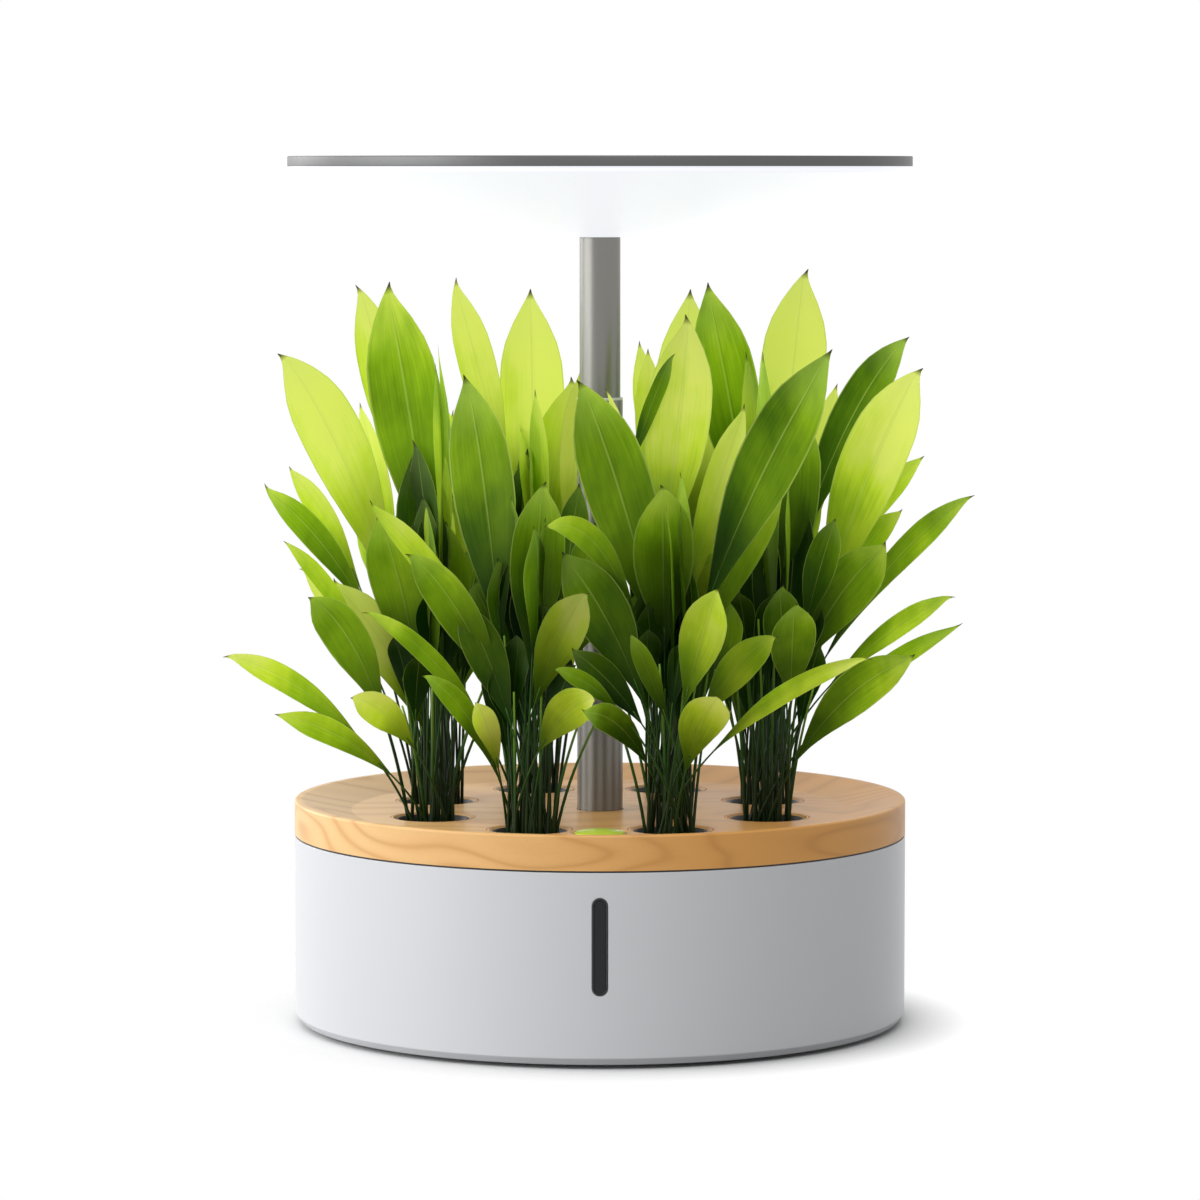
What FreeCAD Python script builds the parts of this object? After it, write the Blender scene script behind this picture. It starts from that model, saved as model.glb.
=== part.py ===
import FreeCAD, Part
import math
import os
from FreeCAD import Vector

# Countertop hydroponic garden: a round water tub carries a wooden planting tray with eight pods,
# and a telescopic mast in the middle holds a disc lamp over the plants.
# Millimetres. The origin is the middle of the tub's footprint on the counter, +Z is up and
# the front, with the level window and the button, faces -Y.

# Sides of small round pieces that are drawn with flat faces
COARSE_SIDES = 8
FINE_SIDES = 12
SLEEVE_SIDES = 16
HOLE_SIDES = 16
SKIRT_SIDES = 48
ROUND_SIDES = 96

# Tub
TUB_RADIUS = 140.0
TUB_HEIGHT = 84.4
TUB_WALL = 2.6
TUB_FLOOR = 3.0
TUB_BEVEL = 4.0
FOOT_HEIGHT = 2.0
FOOT_RADIUS = 9.0
FOOT_PITCH_RADIUS = 108.0
FOOT_COUNT = 4

# Level window in the tub's front
WINDOW_WIDTH = 7.1
WINDOW_HEIGHT = 43.0
WINDOW_CENTRE_Z = 54.0
WINDOW_RECESS = 0.3
GASKET_RIM = 0.9
GASKET_FLANGE = 2.0
GASKET_FLANGE_THICKNESS = 1.2

# Plastic deck that carries the tray, the mast and the pump
SEAM_HEIGHT = 0.8
SEAM_RECESS = 0.8
DECK_THICKNESS = 3.0
SKIRT_DEPTH = 10.0
SKIRT_WALL = 2.0
SKIRT_GAP = 1.6
RIB_THICKNESS = 2.0
RIB_DEPTH = 7.0
RIB_ANGLES = (0.0, 45.0, 135.0, 180.0, 225.0, 315.0)

# Wooden tray, a rim round a floor panel
TRAY_HEIGHT = 15.6
TRAY_FLOOR_DROP = 5.4
TRAY_FLOOR_RADIUS = 113.0
TRAY_RIDGE_DROP = 3.6
TRAY_JOINT_RADIUS = 110.0

# Pods
POD_COUNT = 8
POD_PITCH_RADIUS = 82.0
POD_FIRST_ANGLE = -67.5
POD_HOLE_RADIUS = 17.0
POD_CHAMFER = 1.2
CUP_GAP = 0.5
CUP_LIP_HEIGHT = 2.0
CUP_LIP_WIDTH = 2.3
CUP_TAPER = 3.2
CUP_DEPTH = 44.0
CUP_WALL = 1.2
CUP_SIDES = 8
CUP_SLOT_WIDTH = 3.2
CUP_SLOT_MARGIN = 6.0
CUP_DRAIN_RADIUS = 4.0
SPONGE_GAP = 0.3
SPONGE_TOP_DROP = 4.0

# Mast
LOWER_TUBE_RADIUS = 10.4
LOWER_TUBE_WALL = 0.5
LOWER_TUBE_TOP = 285.2
UPPER_TUBE_RADIUS = 9.3
UPPER_TUBE_WALL = 0.7
UPPER_TUBE_BOTTOM = 160.0
SLIDE_CLEARANCE = 0.05
MAST_COLLAR_HEIGHT = 1.2
MAST_BUSH_LENGTH = 24.0
SLIDE_BUSH_LENGTH = 12.0
MAST_HOLE_GAP = 0.3
SOCKET_RADIUS = 14.0
SOCKET_DEPTH = 24.0
SOCKET_BASE = 4.0
SOCKET_FLANGE_RADIUS = 25.0
SOCKET_FLANGE_THICKNESS = 3.0

# Lamp
LAMP_RADIUS = 142.0
LAMP_TOP = 396.0
LAMP_BAND_HEIGHT = 4.6
LAMP_COVER_THICKNESS = 1.6
LAMP_BAND_WALL = 2.0
LAMP_EDGE_BEVEL = 0.8
DIFFUSER_EDGE_INSET = 0.9
DIFFUSER_EDGE_HEIGHT = 2.6
DIFFUSER_DEPTH = 32.0
DIFFUSER_NOSE_RADIUS = 13.5
DIFFUSER_WALL = 2.0
DIFFUSER_HOLE_GAP = 0.3
BOARD_RADIUS = 130.0
BOARD_THICKNESS = 1.6
BOARD_HOLE_GAP = 1.0
BOARD_SIDES = 12
CHIP_SIZE = 5.0
CHIP_HEIGHT = 1.0
CHIP_SPOKES = 9
CHIP_RINGS = (45.0, 80.0, 115.0)
HUB_RADIUS = 12.6
HUB_FLANGE_RADIUS = 20.0
HUB_FLANGE_THICKNESS = 3.0
HUB_ROOF = 6.0

# Button
BUTTON_RADIUS = 11.25
BUTTON_GAP = 0.75
BUTTON_CHAMFER = 1.0
BUTTON_DISTANCE = 86.5
BUTTON_STAND = 0.2
BUTTON_DOME = 1.4
BUTTON_SHOULDER = 0.7
BUTTON_TOP_THICKNESS = 1.4
BUTTON_SKIRT_DEPTH = 5.2
BUTTON_SKIRT_WALL = 1.5
BUTTON_STEM_RADIUS = 2.2
BUTTON_TRAVEL = 1.5
SWITCH_SIZE = 12.0
SWITCH_HEIGHT = 3.6
SWITCH_HOLE_GAP = 0.3

# Control box and power inlet at the rear
BOX_WIDTH = 54.0
BOX_LENGTH = 30.0
BOX_REAR_INSET = 12.0
BOX_DEPTH = 24.2
BOX_WALL = 1.6
BOARD_POST_HEIGHT = 4.0
BOARD_POST_RADIUS = 2.5
CONTROL_BOARD_GAP = 0.4
INLET_WIDTH = 15.2
INLET_HEIGHT = 20.0
INLET_RECESS = 1.0
INLET_NOTCH_GAP = 0.4
INLET_BORE_RADIUS = 2.75
INLET_BORE_DEPTH = 9.0
INLET_PIN_RADIUS = 0.65

# Pump
PUMP_LENGTH = 42.0
PUMP_WIDTH = 32.0
PUMP_HEIGHT = 27.0
PUMP_CORNER = 6.0
PUMP_FLOOR_GAP = 0.3
PUMP_DISTANCE = 44.0
PUMP_ANGLE = 157.5
PUMP_SPOUT_LENGTH = 8.0
RISER_RADIUS = 4.5
RISER_BORE_RADIUS = 3.0
STRAINER_THICKNESS = 2.4
STRAINER_SLOTS = 5
STRAINER_SLOT_WIDTH = 2.0
STRAINER_MARGIN = 3.0

# Screws
SCREW_SHANK_RADIUS = 1.4
SCREW_HEAD_RADIUS = 2.8
SCREW_HEAD_HEIGHT = 1.8
SCREW_BITE = 7.0
SCREW_SIDES = 6
MAST_SCREW_COUNT = 4
MAST_SCREW_RADIUS = 19.0
TRAY_SCREW_COUNT = 4
TRAY_SCREW_RADIUS = 116.0
TRAY_SCREW_FIRST = 22.5
LAMP_SCREW_COUNT = 3
LAMP_SCREW_RADIUS = 16.5
LAMP_SCREW_BITE = 0.8

# Leaves
STEM_RADIUS = 0.7
STEM_RING = 6.5
LEAF_THICKNESS = 0.9
LEAF_FOLD = 0.16
BLADE_SHAPE = ((0.0, 0.12), (0.30, 0.66), (0.58, 1.0), (0.86, 0.60))
STALK_REACH = (0.12, 0.55)
STALK_RISE = (0.36, 0.70)
LONGEST_BLADE = 0.85

# Heights and places that follow from the sizes above
TUB_RIM = FOOT_HEIGHT + TUB_HEIGHT
TUB_INSIDE_FLOOR = FOOT_HEIGHT + TUB_FLOOR
TUB_INSIDE_RADIUS = TUB_RADIUS - TUB_WALL
TRAY_BOTTOM = TUB_RIM + SEAM_HEIGHT
DECK_BOTTOM = TRAY_BOTTOM - DECK_THICKNESS
TRAY_RIDGE = TRAY_BOTTOM + TRAY_HEIGHT
TRAY_FLOOR = TRAY_RIDGE - TRAY_FLOOR_DROP
SKIRT_RADIUS = TUB_INSIDE_RADIUS - SKIRT_GAP
CUP_LIP_RADIUS = POD_HOLE_RADIUS - CUP_GAP
CUP_RADIUS = CUP_LIP_RADIUS - CUP_LIP_WIDTH
CUP_LIP_TOP = TRAY_BOTTOM + CUP_LIP_HEIGHT
CUP_BOTTOM = TRAY_BOTTOM - CUP_DEPTH
SPONGE_TOP = CUP_LIP_TOP - SPONGE_TOP_DROP
LOWER_TUBE_BORE = LOWER_TUBE_RADIUS - LOWER_TUBE_WALL
SOCKET_BOTTOM = DECK_BOTTOM - SOCKET_DEPTH
LOWER_TUBE_BOTTOM = SOCKET_BOTTOM + SOCKET_BASE
DIFFUSER_TOP = LAMP_TOP - LAMP_BAND_HEIGHT
DIFFUSER_NOSE = DIFFUSER_TOP - DIFFUSER_DEPTH
DIFFUSER_RADIUS = LAMP_RADIUS - DIFFUSER_EDGE_INSET
LAMP_CEILING = LAMP_TOP - LAMP_COVER_THICKNESS
HUB_BOTTOM = DIFFUSER_NOSE + DIFFUSER_WALL
BUTTON_EDGE = TRAY_FLOOR + BUTTON_STAND
BUTTON_UNDERSIDE = BUTTON_EDGE - BUTTON_TOP_THICKNESS
BOX_BOTTOM = DECK_BOTTOM - BOX_DEPTH
BOX_REAR_Y = TUB_RADIUS - BOX_REAR_INSET
BOX_FRONT_Y = BOX_REAR_Y - BOX_LENGTH
INLET_REAR_Y = TUB_RADIUS - INLET_RECESS
INLET_TOP = DECK_BOTTOM
INLET_BOTTOM = INLET_TOP - INLET_HEIGHT
PUMP_BOTTOM = TUB_INSIDE_FLOOR + PUMP_FLOOR_GAP
PUMP_TOP = PUMP_BOTTOM + PUMP_HEIGHT

# Every leaf by the pod that it grows from, numbered from the front right and on round by the right:
# tip x, y, z; blade width; blade length; arch of the stalk; turn of the blade about the upright
LEAVES = {
    1: (
        (-9, -48, 297, 31, 122, 0.05, 8),
        (-24, -112, 234, 13, 66, 0.10, -10),
        (-8, -130, 155, 13, 42, 0.20, 0),
        (28, -90, 252, 28, 76, 0.05, 12),
        (82, -74, 255, 20, 86, 0.08, 20),
        (65, -67, 286, 15, 95, 0.05, 10),
        (101, -104, 312, 28, 128, 0.04, -10),
        (40, -46, 325, 30, 112, 0.02, -8),
        (118, -120, 179, 9, 76, 0.35, 20),
        (77, -104, 187, 18, 52, 0.12, 30),
        (51, -124, 209, 20, 56, 0.05, -10),
        (52, -132, 162, 21, 38, 0.15, 10),
        (-14, -94, 221, 22, 72, 0.08, -5),
        (-20, -122, 174, 12, 50, 0.15, 0),
    ),
    2: (
        (145, -16, 301, 31, 124, 0.10, -25),
        (89, -42, 287, 29, 104, 0.02, 15),
        (170, -26, 244, 13, 100, 0.25, 25),
        (129, -52, 223, 26, 70, 0.10, 20),
        (159, -46, 200, 10, 66, 0.30, 0),
        (162, -64, 188, 9, 74, 0.22, 0),
        (140, -80, 175, 20, 72, 0.25, 10),
        (105, -60, 235, 15, 52, 0.08, -15),
        (86, -96, 200, 21, 46, 0.05, 10),
        (80, -72, 206, 18, 46, 0.05, 10),
    ),
    3: (
        (49, 24, 338, 29, 122, 0.02, 10),
        (95, 52, 344, 31, 122, 0.03, -12),
        (143, 38, 313, 20, 116, 0.15, -15),
        (151, 44, 257, 13, 75, 0.25, 0),
        (85, 14, 292, 12, 90, 0.02, 20),
        (111, 66, 290, 15, 90, 0.05, 0),
        (140, 20, 233, 12, 65, 0.20, 15),
    ),
    4: (
        (42, 68, 334, 32, 126, 0.02, 10),
        (22, 46, 307, 16, 85, 0.02, -15),
        (68, 92, 275, 18, 85, 0.05, 20),
        (84, 112, 236, 24, 85, 0.15, 30),
        (26, 122, 262, 24, 92, 0.10, -10),
        (48, 128, 190, 20, 60, 0.25, 10),
    ),
    5: (
        (-69, 72, 339, 18, 105, 0.03, 10),
        (-33, 76, 334, 31, 128, 0.02, -8),
        (-12, 62, 293, 26, 95, 0.02, 10),
        (-78, 94, 284, 13, 105, 0.08, 15),
        (-62, 120, 226, 24, 85, 0.15, -30),
        (-20, 124, 240, 24, 92, 0.10, 10),
        (-40, 130, 180, 20, 60, 0.25, -10),
    ),
    6: (
        (-112, 46, 337, 22, 112, 0.04, 12),
        (-148, 34, 306, 29, 130, 0.12, 15),
        (-113, 64, 281, 12, 95, 0.08, -10),
        (-144, 22, 253, 11, 66, 0.20, 10),
        (-155, 8, 245, 13, 78, 0.28, 0),
        (-118, 84, 230, 24, 88, 0.15, -20),
    ),
    7: (
        (-97, -18, 339, 33, 134, 0.02, -8),
        (-99, -62, 237, 26, 84, 0.05, -12),
        (-143, -30, 223, 8, 66, 0.25, -10),
        (-136, -12, 210, 10, 60, 0.20, 10),
        (-130, -58, 200, 22, 66, 0.15, -20),
        (-171, -34, 172, 12, 72, 0.35, -10),
        (-145, -68, 148, 12, 60, 0.30, -10),
        (-110, -88, 158, 15, 38, 0.15, 0),
        (-122, -24, 204, 20, 84, 0.10, 10),
    ),
    8: (
        (-103, -76, 243, 12, 92, 0.10, -15),
        (-84, -100, 223, 21, 78, 0.10, -25),
        (-103, -118, 199, 9, 78, 0.30, -10),
        (-77, -128, 172, 10, 62, 0.25, 0),
        (-54, -132, 160, 11, 36, 0.10, 0),
        (-6, -104, 206, 20, 60, 0.10, 10),
        (-2, -122, 161, 18, 38, 0.20, 0),
        (-60, -52, 299, 29, 120, 0.03, -10),
        (-25, -84, 253, 25, 84, 0.03, 10),
        (-62, -84, 200, 18, 60, 0.06, -10),
    ),
}


def disc(radius, low, high):
    return Part.makeCylinder(radius, high - low, Vector(0, 0, low))


def ring(outer, inner, low, high):
    return disc(outer, low, high).cut(disc(inner, low, high))


def block(x0, x1, y0, y1, z0, z1):
    return Part.makeBox(x1 - x0, y1 - y0, z1 - z0, Vector(x0, y0, z0))


def flat_solid(faces):
    """closed solid from the corner lists of its flat faces"""
    shell = Part.Shell([Part.Face(Part.makePolygon(face + face[:1])) for face in faces])
    solid = Part.Solid(shell)
    return solid if solid.Volume > 0 else solid.reversed()


def revolve(points):
    """solid turned about the upright axis from a closed outline of (radius, height)"""
    corners = [Vector(r, 0, z) for r, z in points]
    face = Part.Face(Part.makePolygon(corners + corners[:1]))
    return face.revolve(Vector(0, 0, 0), Vector(0, 0, 1), 360)


def polar(radius, angle, height=0.0):
    turn = math.radians(angle)
    return Vector(radius * math.cos(turn), radius * math.sin(turn), height)


def prism(low_radius, low, high_radius, high, sides):
    """upright flat-faced solid between two regular polygons"""
    step = 360.0 / sides
    bottom = [polar(low_radius, step * k, low) for k in range(sides)]
    top = [polar(high_radius, step * k, high) for k in range(sides)]
    walls = [
        [bottom[k - 1], bottom[k], top[k], top[k - 1]]
        for k in range(sides)
    ]
    return flat_solid([bottom[::-1], top] + walls)


def round_hole(radius, low, high, sides=SLEEVE_SIDES):
    """flat-faced hole whose faces touch a round bar of the given radius"""
    corner = radius / math.cos(math.pi / sides)
    return prism(corner, low, corner, high, sides)


def sleeve(outer, inner, low, high, sides):
    """flat-faced ring whose corners touch the outer radius and whose inner faces touch the inner one"""
    return prism(outer, low, outer, high, sides).cut(round_hole(inner, low, high, sides))


def ring_places(count, radius, first):
    return [polar(radius, first + 360.0 * k / count) for k in range(count)]


def moved(shape, place):
    copy = shape.copy()
    copy.translate(place)
    return copy


def repeated(shape, places):
    return [moved(shape, place) for place in places]


def fused(shapes):
    whole = shapes[0].multiFuse(shapes[1:]) if len(shapes) > 1 else shapes[0]
    return whole.removeSplitter()


def save(name, shape):
    shape.exportStep(os.path.join("parts", name + ".step"))


def pod_places():
    return ring_places(POD_COUNT, POD_PITCH_RADIUS, POD_FIRST_ANGLE)


def mast_screw_places():
    return ring_places(MAST_SCREW_COUNT, MAST_SCREW_RADIUS, 0.0)


def tray_screw_places():
    return ring_places(TRAY_SCREW_COUNT, TRAY_SCREW_RADIUS, TRAY_SCREW_FIRST)


def lamp_screw_places():
    return ring_places(LAMP_SCREW_COUNT, LAMP_SCREW_RADIUS, 90.0)


def pump_place():
    return polar(PUMP_DISTANCE, PUMP_ANGLE)


def button_place():
    return Vector(0, -BUTTON_DISTANCE, 0)


def stadium_bar(width, height, front, rear):
    """bar along Y with an upright stadium section, at the window's place"""
    half = width / 2
    flat = height / 2 - half
    bar = block(-half, half, front, rear, WINDOW_CENTRE_Z - flat, WINDOW_CENTRE_Z + flat)
    end = prism(half, 0, half, rear - front, FINE_SIDES).rotated(Vector(0, 0, 0), Vector(1, 0, 0), -90)
    ends = [moved(end, Vector(0, front, WINDOW_CENTRE_Z + side * flat)) for side in (-1, 1)]
    return fused([bar] + ends)


def wall_front(radius, width):
    """how far forward a flat face of the given width can stand inside a cylinder"""
    return -math.sqrt(radius ** 2 - (width / 2) ** 2)


def screws(places, head_low, bite):
    """pan-head screws driven upwards, heads down"""
    head = prism(SCREW_HEAD_RADIUS, head_low, SCREW_HEAD_RADIUS, head_low + SCREW_HEAD_HEIGHT, SCREW_SIDES)
    shank_low = head_low + SCREW_HEAD_HEIGHT
    shank = prism(SCREW_SHANK_RADIUS, shank_low, SCREW_SHANK_RADIUS, shank_low + bite, SCREW_SIDES)
    return Part.makeCompound(repeated(fused([head, shank]), places))


def screw_holes(places, low, high):
    hole = prism(SCREW_SHANK_RADIUS, low, SCREW_SHANK_RADIUS, high, SCREW_SIDES)
    return repeated(hole, places)


def reservoir_tub():
    """single-wall water tub, open on top, with a window slot in front and an inlet notch behind"""
    outer = revolve([
        (0, FOOT_HEIGHT),
        (TUB_RADIUS - TUB_BEVEL, FOOT_HEIGHT),
        (TUB_RADIUS, FOOT_HEIGHT + TUB_BEVEL),
        (TUB_RADIUS, TUB_RIM),
        (0, TUB_RIM),
    ])
    inner = disc(TUB_INSIDE_RADIUS, TUB_INSIDE_FLOOR, TUB_RIM)
    half = INLET_WIDTH / 2 + INLET_NOTCH_GAP
    notch = block(-half, half, BOX_REAR_Y, TUB_RADIUS + TUB_WALL, INLET_BOTTOM - INLET_NOTCH_GAP, TUB_RIM)
    window = stadium_bar(WINDOW_WIDTH, WINDOW_HEIGHT, -TUB_RADIUS, -TUB_RADIUS / 2)
    return outer.cut([inner, window, notch])


def rubber_feet():
    pad = prism(FOOT_RADIUS, 0, FOOT_RADIUS, FOOT_HEIGHT, FINE_SIDES)
    return Part.makeCompound(repeated(pad, ring_places(FOOT_COUNT, FOOT_PITCH_RADIUS, 45.0)))


def window_gasket():
    """rubber rim in the slot, with a flange behind the wall"""
    width = WINDOW_WIDTH + 2 * GASKET_FLANGE
    height = WINDOW_HEIGHT + 2 * GASKET_FLANGE
    front = wall_front(TUB_RADIUS, WINDOW_WIDTH)
    seat = wall_front(TUB_INSIDE_RADIUS, width)
    back = seat + GASKET_FLANGE_THICKNESS
    rim = stadium_bar(WINDOW_WIDTH, WINDOW_HEIGHT, front, back)
    flange = stadium_bar(width, height, seat, back)
    opening = stadium_bar(WINDOW_WIDTH - 2 * GASKET_RIM, WINDOW_HEIGHT - 2 * GASKET_RIM, front, back)
    return fused([rim, flange]).cut(opening)


def level_window():
    """smoked clear strip inside the gasket"""
    front = wall_front(TUB_RADIUS, WINDOW_WIDTH) + WINDOW_RECESS
    back = wall_front(TUB_INSIDE_RADIUS, WINDOW_WIDTH + 2 * GASKET_FLANGE) + GASKET_FLANGE_THICKNESS
    return stadium_bar(WINDOW_WIDTH - 2 * GASKET_RIM, WINDOW_HEIGHT - 2 * GASKET_RIM, front, back)


def planter_deck():
    """moulded carrier under the tray: plate, edge flange, skirt inside the tub and ribs"""
    flange = disc(TUB_RADIUS - SEAM_RECESS, TUB_RIM, TRAY_BOTTOM)
    plate = prism(SKIRT_RADIUS, DECK_BOTTOM, SKIRT_RADIUS, TUB_RIM, SKIRT_SIDES)
    skirt_inside = SKIRT_RADIUS - SKIRT_WALL
    skirt = sleeve(SKIRT_RADIUS, skirt_inside, DECK_BOTTOM - SKIRT_DEPTH, DECK_BOTTOM, SKIRT_SIDES)
    rib = block(
        SOCKET_FLANGE_RADIUS, skirt_inside + SKIRT_WALL / 2,
        -RIB_THICKNESS / 2, RIB_THICKNESS / 2, DECK_BOTTOM - RIB_DEPTH, DECK_BOTTOM,
    )
    ribs = [rib.rotated(Vector(0, 0, 0), Vector(0, 0, 1), angle) for angle in RIB_ANGLES]
    deck = fused([flange, plate, skirt] + ribs)
    cup_hole_radius = CUP_RADIUS + CUP_GAP
    cup_hole = prism(cup_hole_radius, DECK_BOTTOM, cup_hole_radius, TRAY_BOTTOM, FINE_SIDES)
    mast_hole = round_hole(LOWER_TUBE_RADIUS, DECK_BOTTOM, TRAY_BOTTOM)
    half = INLET_WIDTH / 2 + INLET_NOTCH_GAP
    notch = block(-half, half, BOX_REAR_Y, TUB_RADIUS, DECK_BOTTOM - SKIRT_DEPTH, DECK_BOTTOM)
    holes = repeated(cup_hole, pod_places()) + [mast_hole, notch]
    holes += screw_holes(mast_screw_places(), DECK_BOTTOM, TRAY_BOTTOM)
    holes += screw_holes(tray_screw_places(), DECK_BOTTOM, TRAY_BOTTOM)
    return deck.cut(holes)


def tray_rim():
    """turned wooden ring: rounded outside, sloping down inside to the floor panel"""
    ridge_radius = TUB_RADIUS - TRAY_RIDGE_DROP
    rim = revolve([
        (0, TRAY_BOTTOM),
        (TUB_RADIUS, TRAY_BOTTOM),
        (TUB_RADIUS, TRAY_RIDGE - TRAY_RIDGE_DROP),
        (ridge_radius, TRAY_RIDGE),
        (TRAY_FLOOR_RADIUS, TRAY_FLOOR),
        (0, TRAY_FLOOR),
    ])
    bite = TRAY_BOTTOM + SCREW_BITE - DECK_THICKNESS
    return rim.cut([tray_panel()] + screw_holes(tray_screw_places(), TRAY_BOTTOM, bite))


def tray_panel():
    return prism(TRAY_JOINT_RADIUS, TRAY_BOTTOM, TRAY_JOINT_RADIUS, TRAY_FLOOR, SKIRT_SIDES)


def tray_floor():
    """wooden panel let into the rim, with the holes for the pods, the button and the mast"""
    pod_hole = countersunk(POD_HOLE_RADIUS, POD_CHAMFER)
    button_hole = countersunk(BUTTON_RADIUS + BUTTON_GAP, BUTTON_CHAMFER)
    holes = repeated(pod_hole, pod_places()) + [moved(button_hole, button_place())]
    holes.append(round_hole(LOWER_TUBE_RADIUS + MAST_HOLE_GAP, TRAY_BOTTOM, TRAY_FLOOR))
    bite = TRAY_BOTTOM + SCREW_BITE - DECK_THICKNESS - SOCKET_FLANGE_THICKNESS
    holes += screw_holes(mast_screw_places(), TRAY_BOTTOM, bite)
    return tray_panel().cut(holes)


def countersunk(radius, chamfer):
    """round hole through the tray's floor with its top edge broken"""
    neck_top = TRAY_FLOOR - chamfer
    neck = prism(radius, TRAY_BOTTOM, radius, neck_top, HOLE_SIDES)
    mouth = prism(radius, neck_top, radius + chamfer, TRAY_FLOOR, HOLE_SIDES)
    return fused([neck, mouth])


def mast_socket():
    """flanged blind cup under the deck that holds the foot of the mast"""
    flange_low = DECK_BOTTOM - SOCKET_FLANGE_THICKNESS
    boss = prism(SOCKET_RADIUS, SOCKET_BOTTOM, SOCKET_RADIUS, flange_low, COARSE_SIDES)
    flange = prism(SOCKET_FLANGE_RADIUS, flange_low, SOCKET_FLANGE_RADIUS, DECK_BOTTOM, COARSE_SIDES)
    bore = round_hole(LOWER_TUBE_RADIUS, LOWER_TUBE_BOTTOM, DECK_BOTTOM)
    return fused([boss, flange]).cut([bore] + screw_holes(mast_screw_places(), flange_low, DECK_BOTTOM))


def lower_tube():
    return ring(LOWER_TUBE_RADIUS, LOWER_TUBE_BORE, LOWER_TUBE_BOTTOM, LOWER_TUBE_TOP)


def mast_bush():
    """sleeve in the lower tube's mouth, with the collar that shows as a light ring"""
    bore = UPPER_TUBE_RADIUS + SLIDE_CLEARANCE
    low = LOWER_TUBE_TOP - MAST_BUSH_LENGTH
    lining = sleeve(LOWER_TUBE_BORE, bore, low, LOWER_TUBE_TOP, SLEEVE_SIDES)
    collar_top = LOWER_TUBE_TOP + MAST_COLLAR_HEIGHT
    collar = sleeve(LOWER_TUBE_RADIUS, bore, LOWER_TUBE_TOP, collar_top, SLEEVE_SIDES)
    return fused([lining, collar])


def upper_tube():
    top = LAMP_CEILING - HUB_ROOF
    return ring(UPPER_TUBE_RADIUS, UPPER_TUBE_RADIUS - UPPER_TUBE_WALL, UPPER_TUBE_BOTTOM, top)


def slide_bush():
    """guide ring on the foot of the upper tube, running in the lower tube's bore"""
    outer = LOWER_TUBE_BORE - SLIDE_CLEARANCE
    top = UPPER_TUBE_BOTTOM + SLIDE_BUSH_LENGTH
    return sleeve(outer, UPPER_TUBE_RADIUS, UPPER_TUBE_BOTTOM, top, SLEEVE_SIDES)


def lamp_cover():
    """shallow metal lid with the band round the lamp's edge"""
    bevel_low = LAMP_TOP - LAMP_EDGE_BEVEL
    band = prism(LAMP_RADIUS, DIFFUSER_TOP, LAMP_RADIUS, bevel_low, ROUND_SIDES)
    bevel = prism(LAMP_RADIUS, bevel_low, LAMP_RADIUS - LAMP_EDGE_BEVEL, LAMP_TOP, ROUND_SIDES)
    cover = fused([band, bevel])
    inside = LAMP_RADIUS - LAMP_BAND_WALL
    hollow = prism(inside, DIFFUSER_TOP, inside, LAMP_CEILING, SKIRT_SIDES)
    holes = screw_holes(lamp_screw_places(), LAMP_CEILING, LAMP_CEILING + LAMP_SCREW_BITE)
    return cover.cut([hollow] + holes)


def diffuser():
    """thin-walled cone that closes the lamp below and meets the mast"""
    edge_low = DIFFUSER_TOP - DIFFUSER_EDGE_HEIGHT
    cone = prism(DIFFUSER_NOSE_RADIUS, DIFFUSER_NOSE, DIFFUSER_RADIUS, edge_low, ROUND_SIDES)
    edge = prism(DIFFUSER_RADIUS, edge_low, DIFFUSER_RADIUS, DIFFUSER_TOP, ROUND_SIDES)
    outer = fused([cone, edge])
    hole_radius = UPPER_TUBE_RADIUS + DIFFUSER_HOLE_GAP
    hole = prism(hole_radius, DIFFUSER_NOSE, hole_radius, HUB_BOTTOM, SLEEVE_SIDES)
    inside = DIFFUSER_RADIUS - DIFFUSER_WALL
    hollow = prism(DIFFUSER_NOSE_RADIUS, HUB_BOTTOM, inside, DIFFUSER_TOP, SKIRT_SIDES)
    return outer.cut([hole, hollow])


def led_board():
    """twelve-sided plate that carries the chips"""
    hole = HUB_FLANGE_RADIUS + BOARD_HOLE_GAP
    return sleeve(BOARD_RADIUS, hole, LAMP_CEILING - BOARD_THICKNESS, LAMP_CEILING, BOARD_SIDES)


def led_chips():
    low = LAMP_CEILING - BOARD_THICKNESS - CHIP_HEIGHT
    half = CHIP_SIZE / 2
    chip = block(-half, half, -half, half, low, low + CHIP_HEIGHT)
    places = []
    for row, radius in enumerate(CHIP_RINGS):
        places += ring_places(CHIP_SPOKES, radius, 180.0 * row / CHIP_SPOKES)
    return Part.makeCompound(repeated(chip, places))


def lamp_hub():
    """boss inside the lamp: holds the upper tube and screws to the cover"""
    flange_low = LAMP_CEILING - HUB_FLANGE_THICKNESS
    boss = prism(HUB_RADIUS, HUB_BOTTOM, HUB_RADIUS, flange_low, COARSE_SIDES)
    flange = prism(HUB_FLANGE_RADIUS, flange_low, HUB_FLANGE_RADIUS, LAMP_CEILING, COARSE_SIDES)
    bore = round_hole(UPPER_TUBE_RADIUS, HUB_BOTTOM, LAMP_CEILING - HUB_ROOF)
    return fused([boss, flange]).cut([bore] + screw_holes(lamp_screw_places(), flange_low, LAMP_CEILING))


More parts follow.
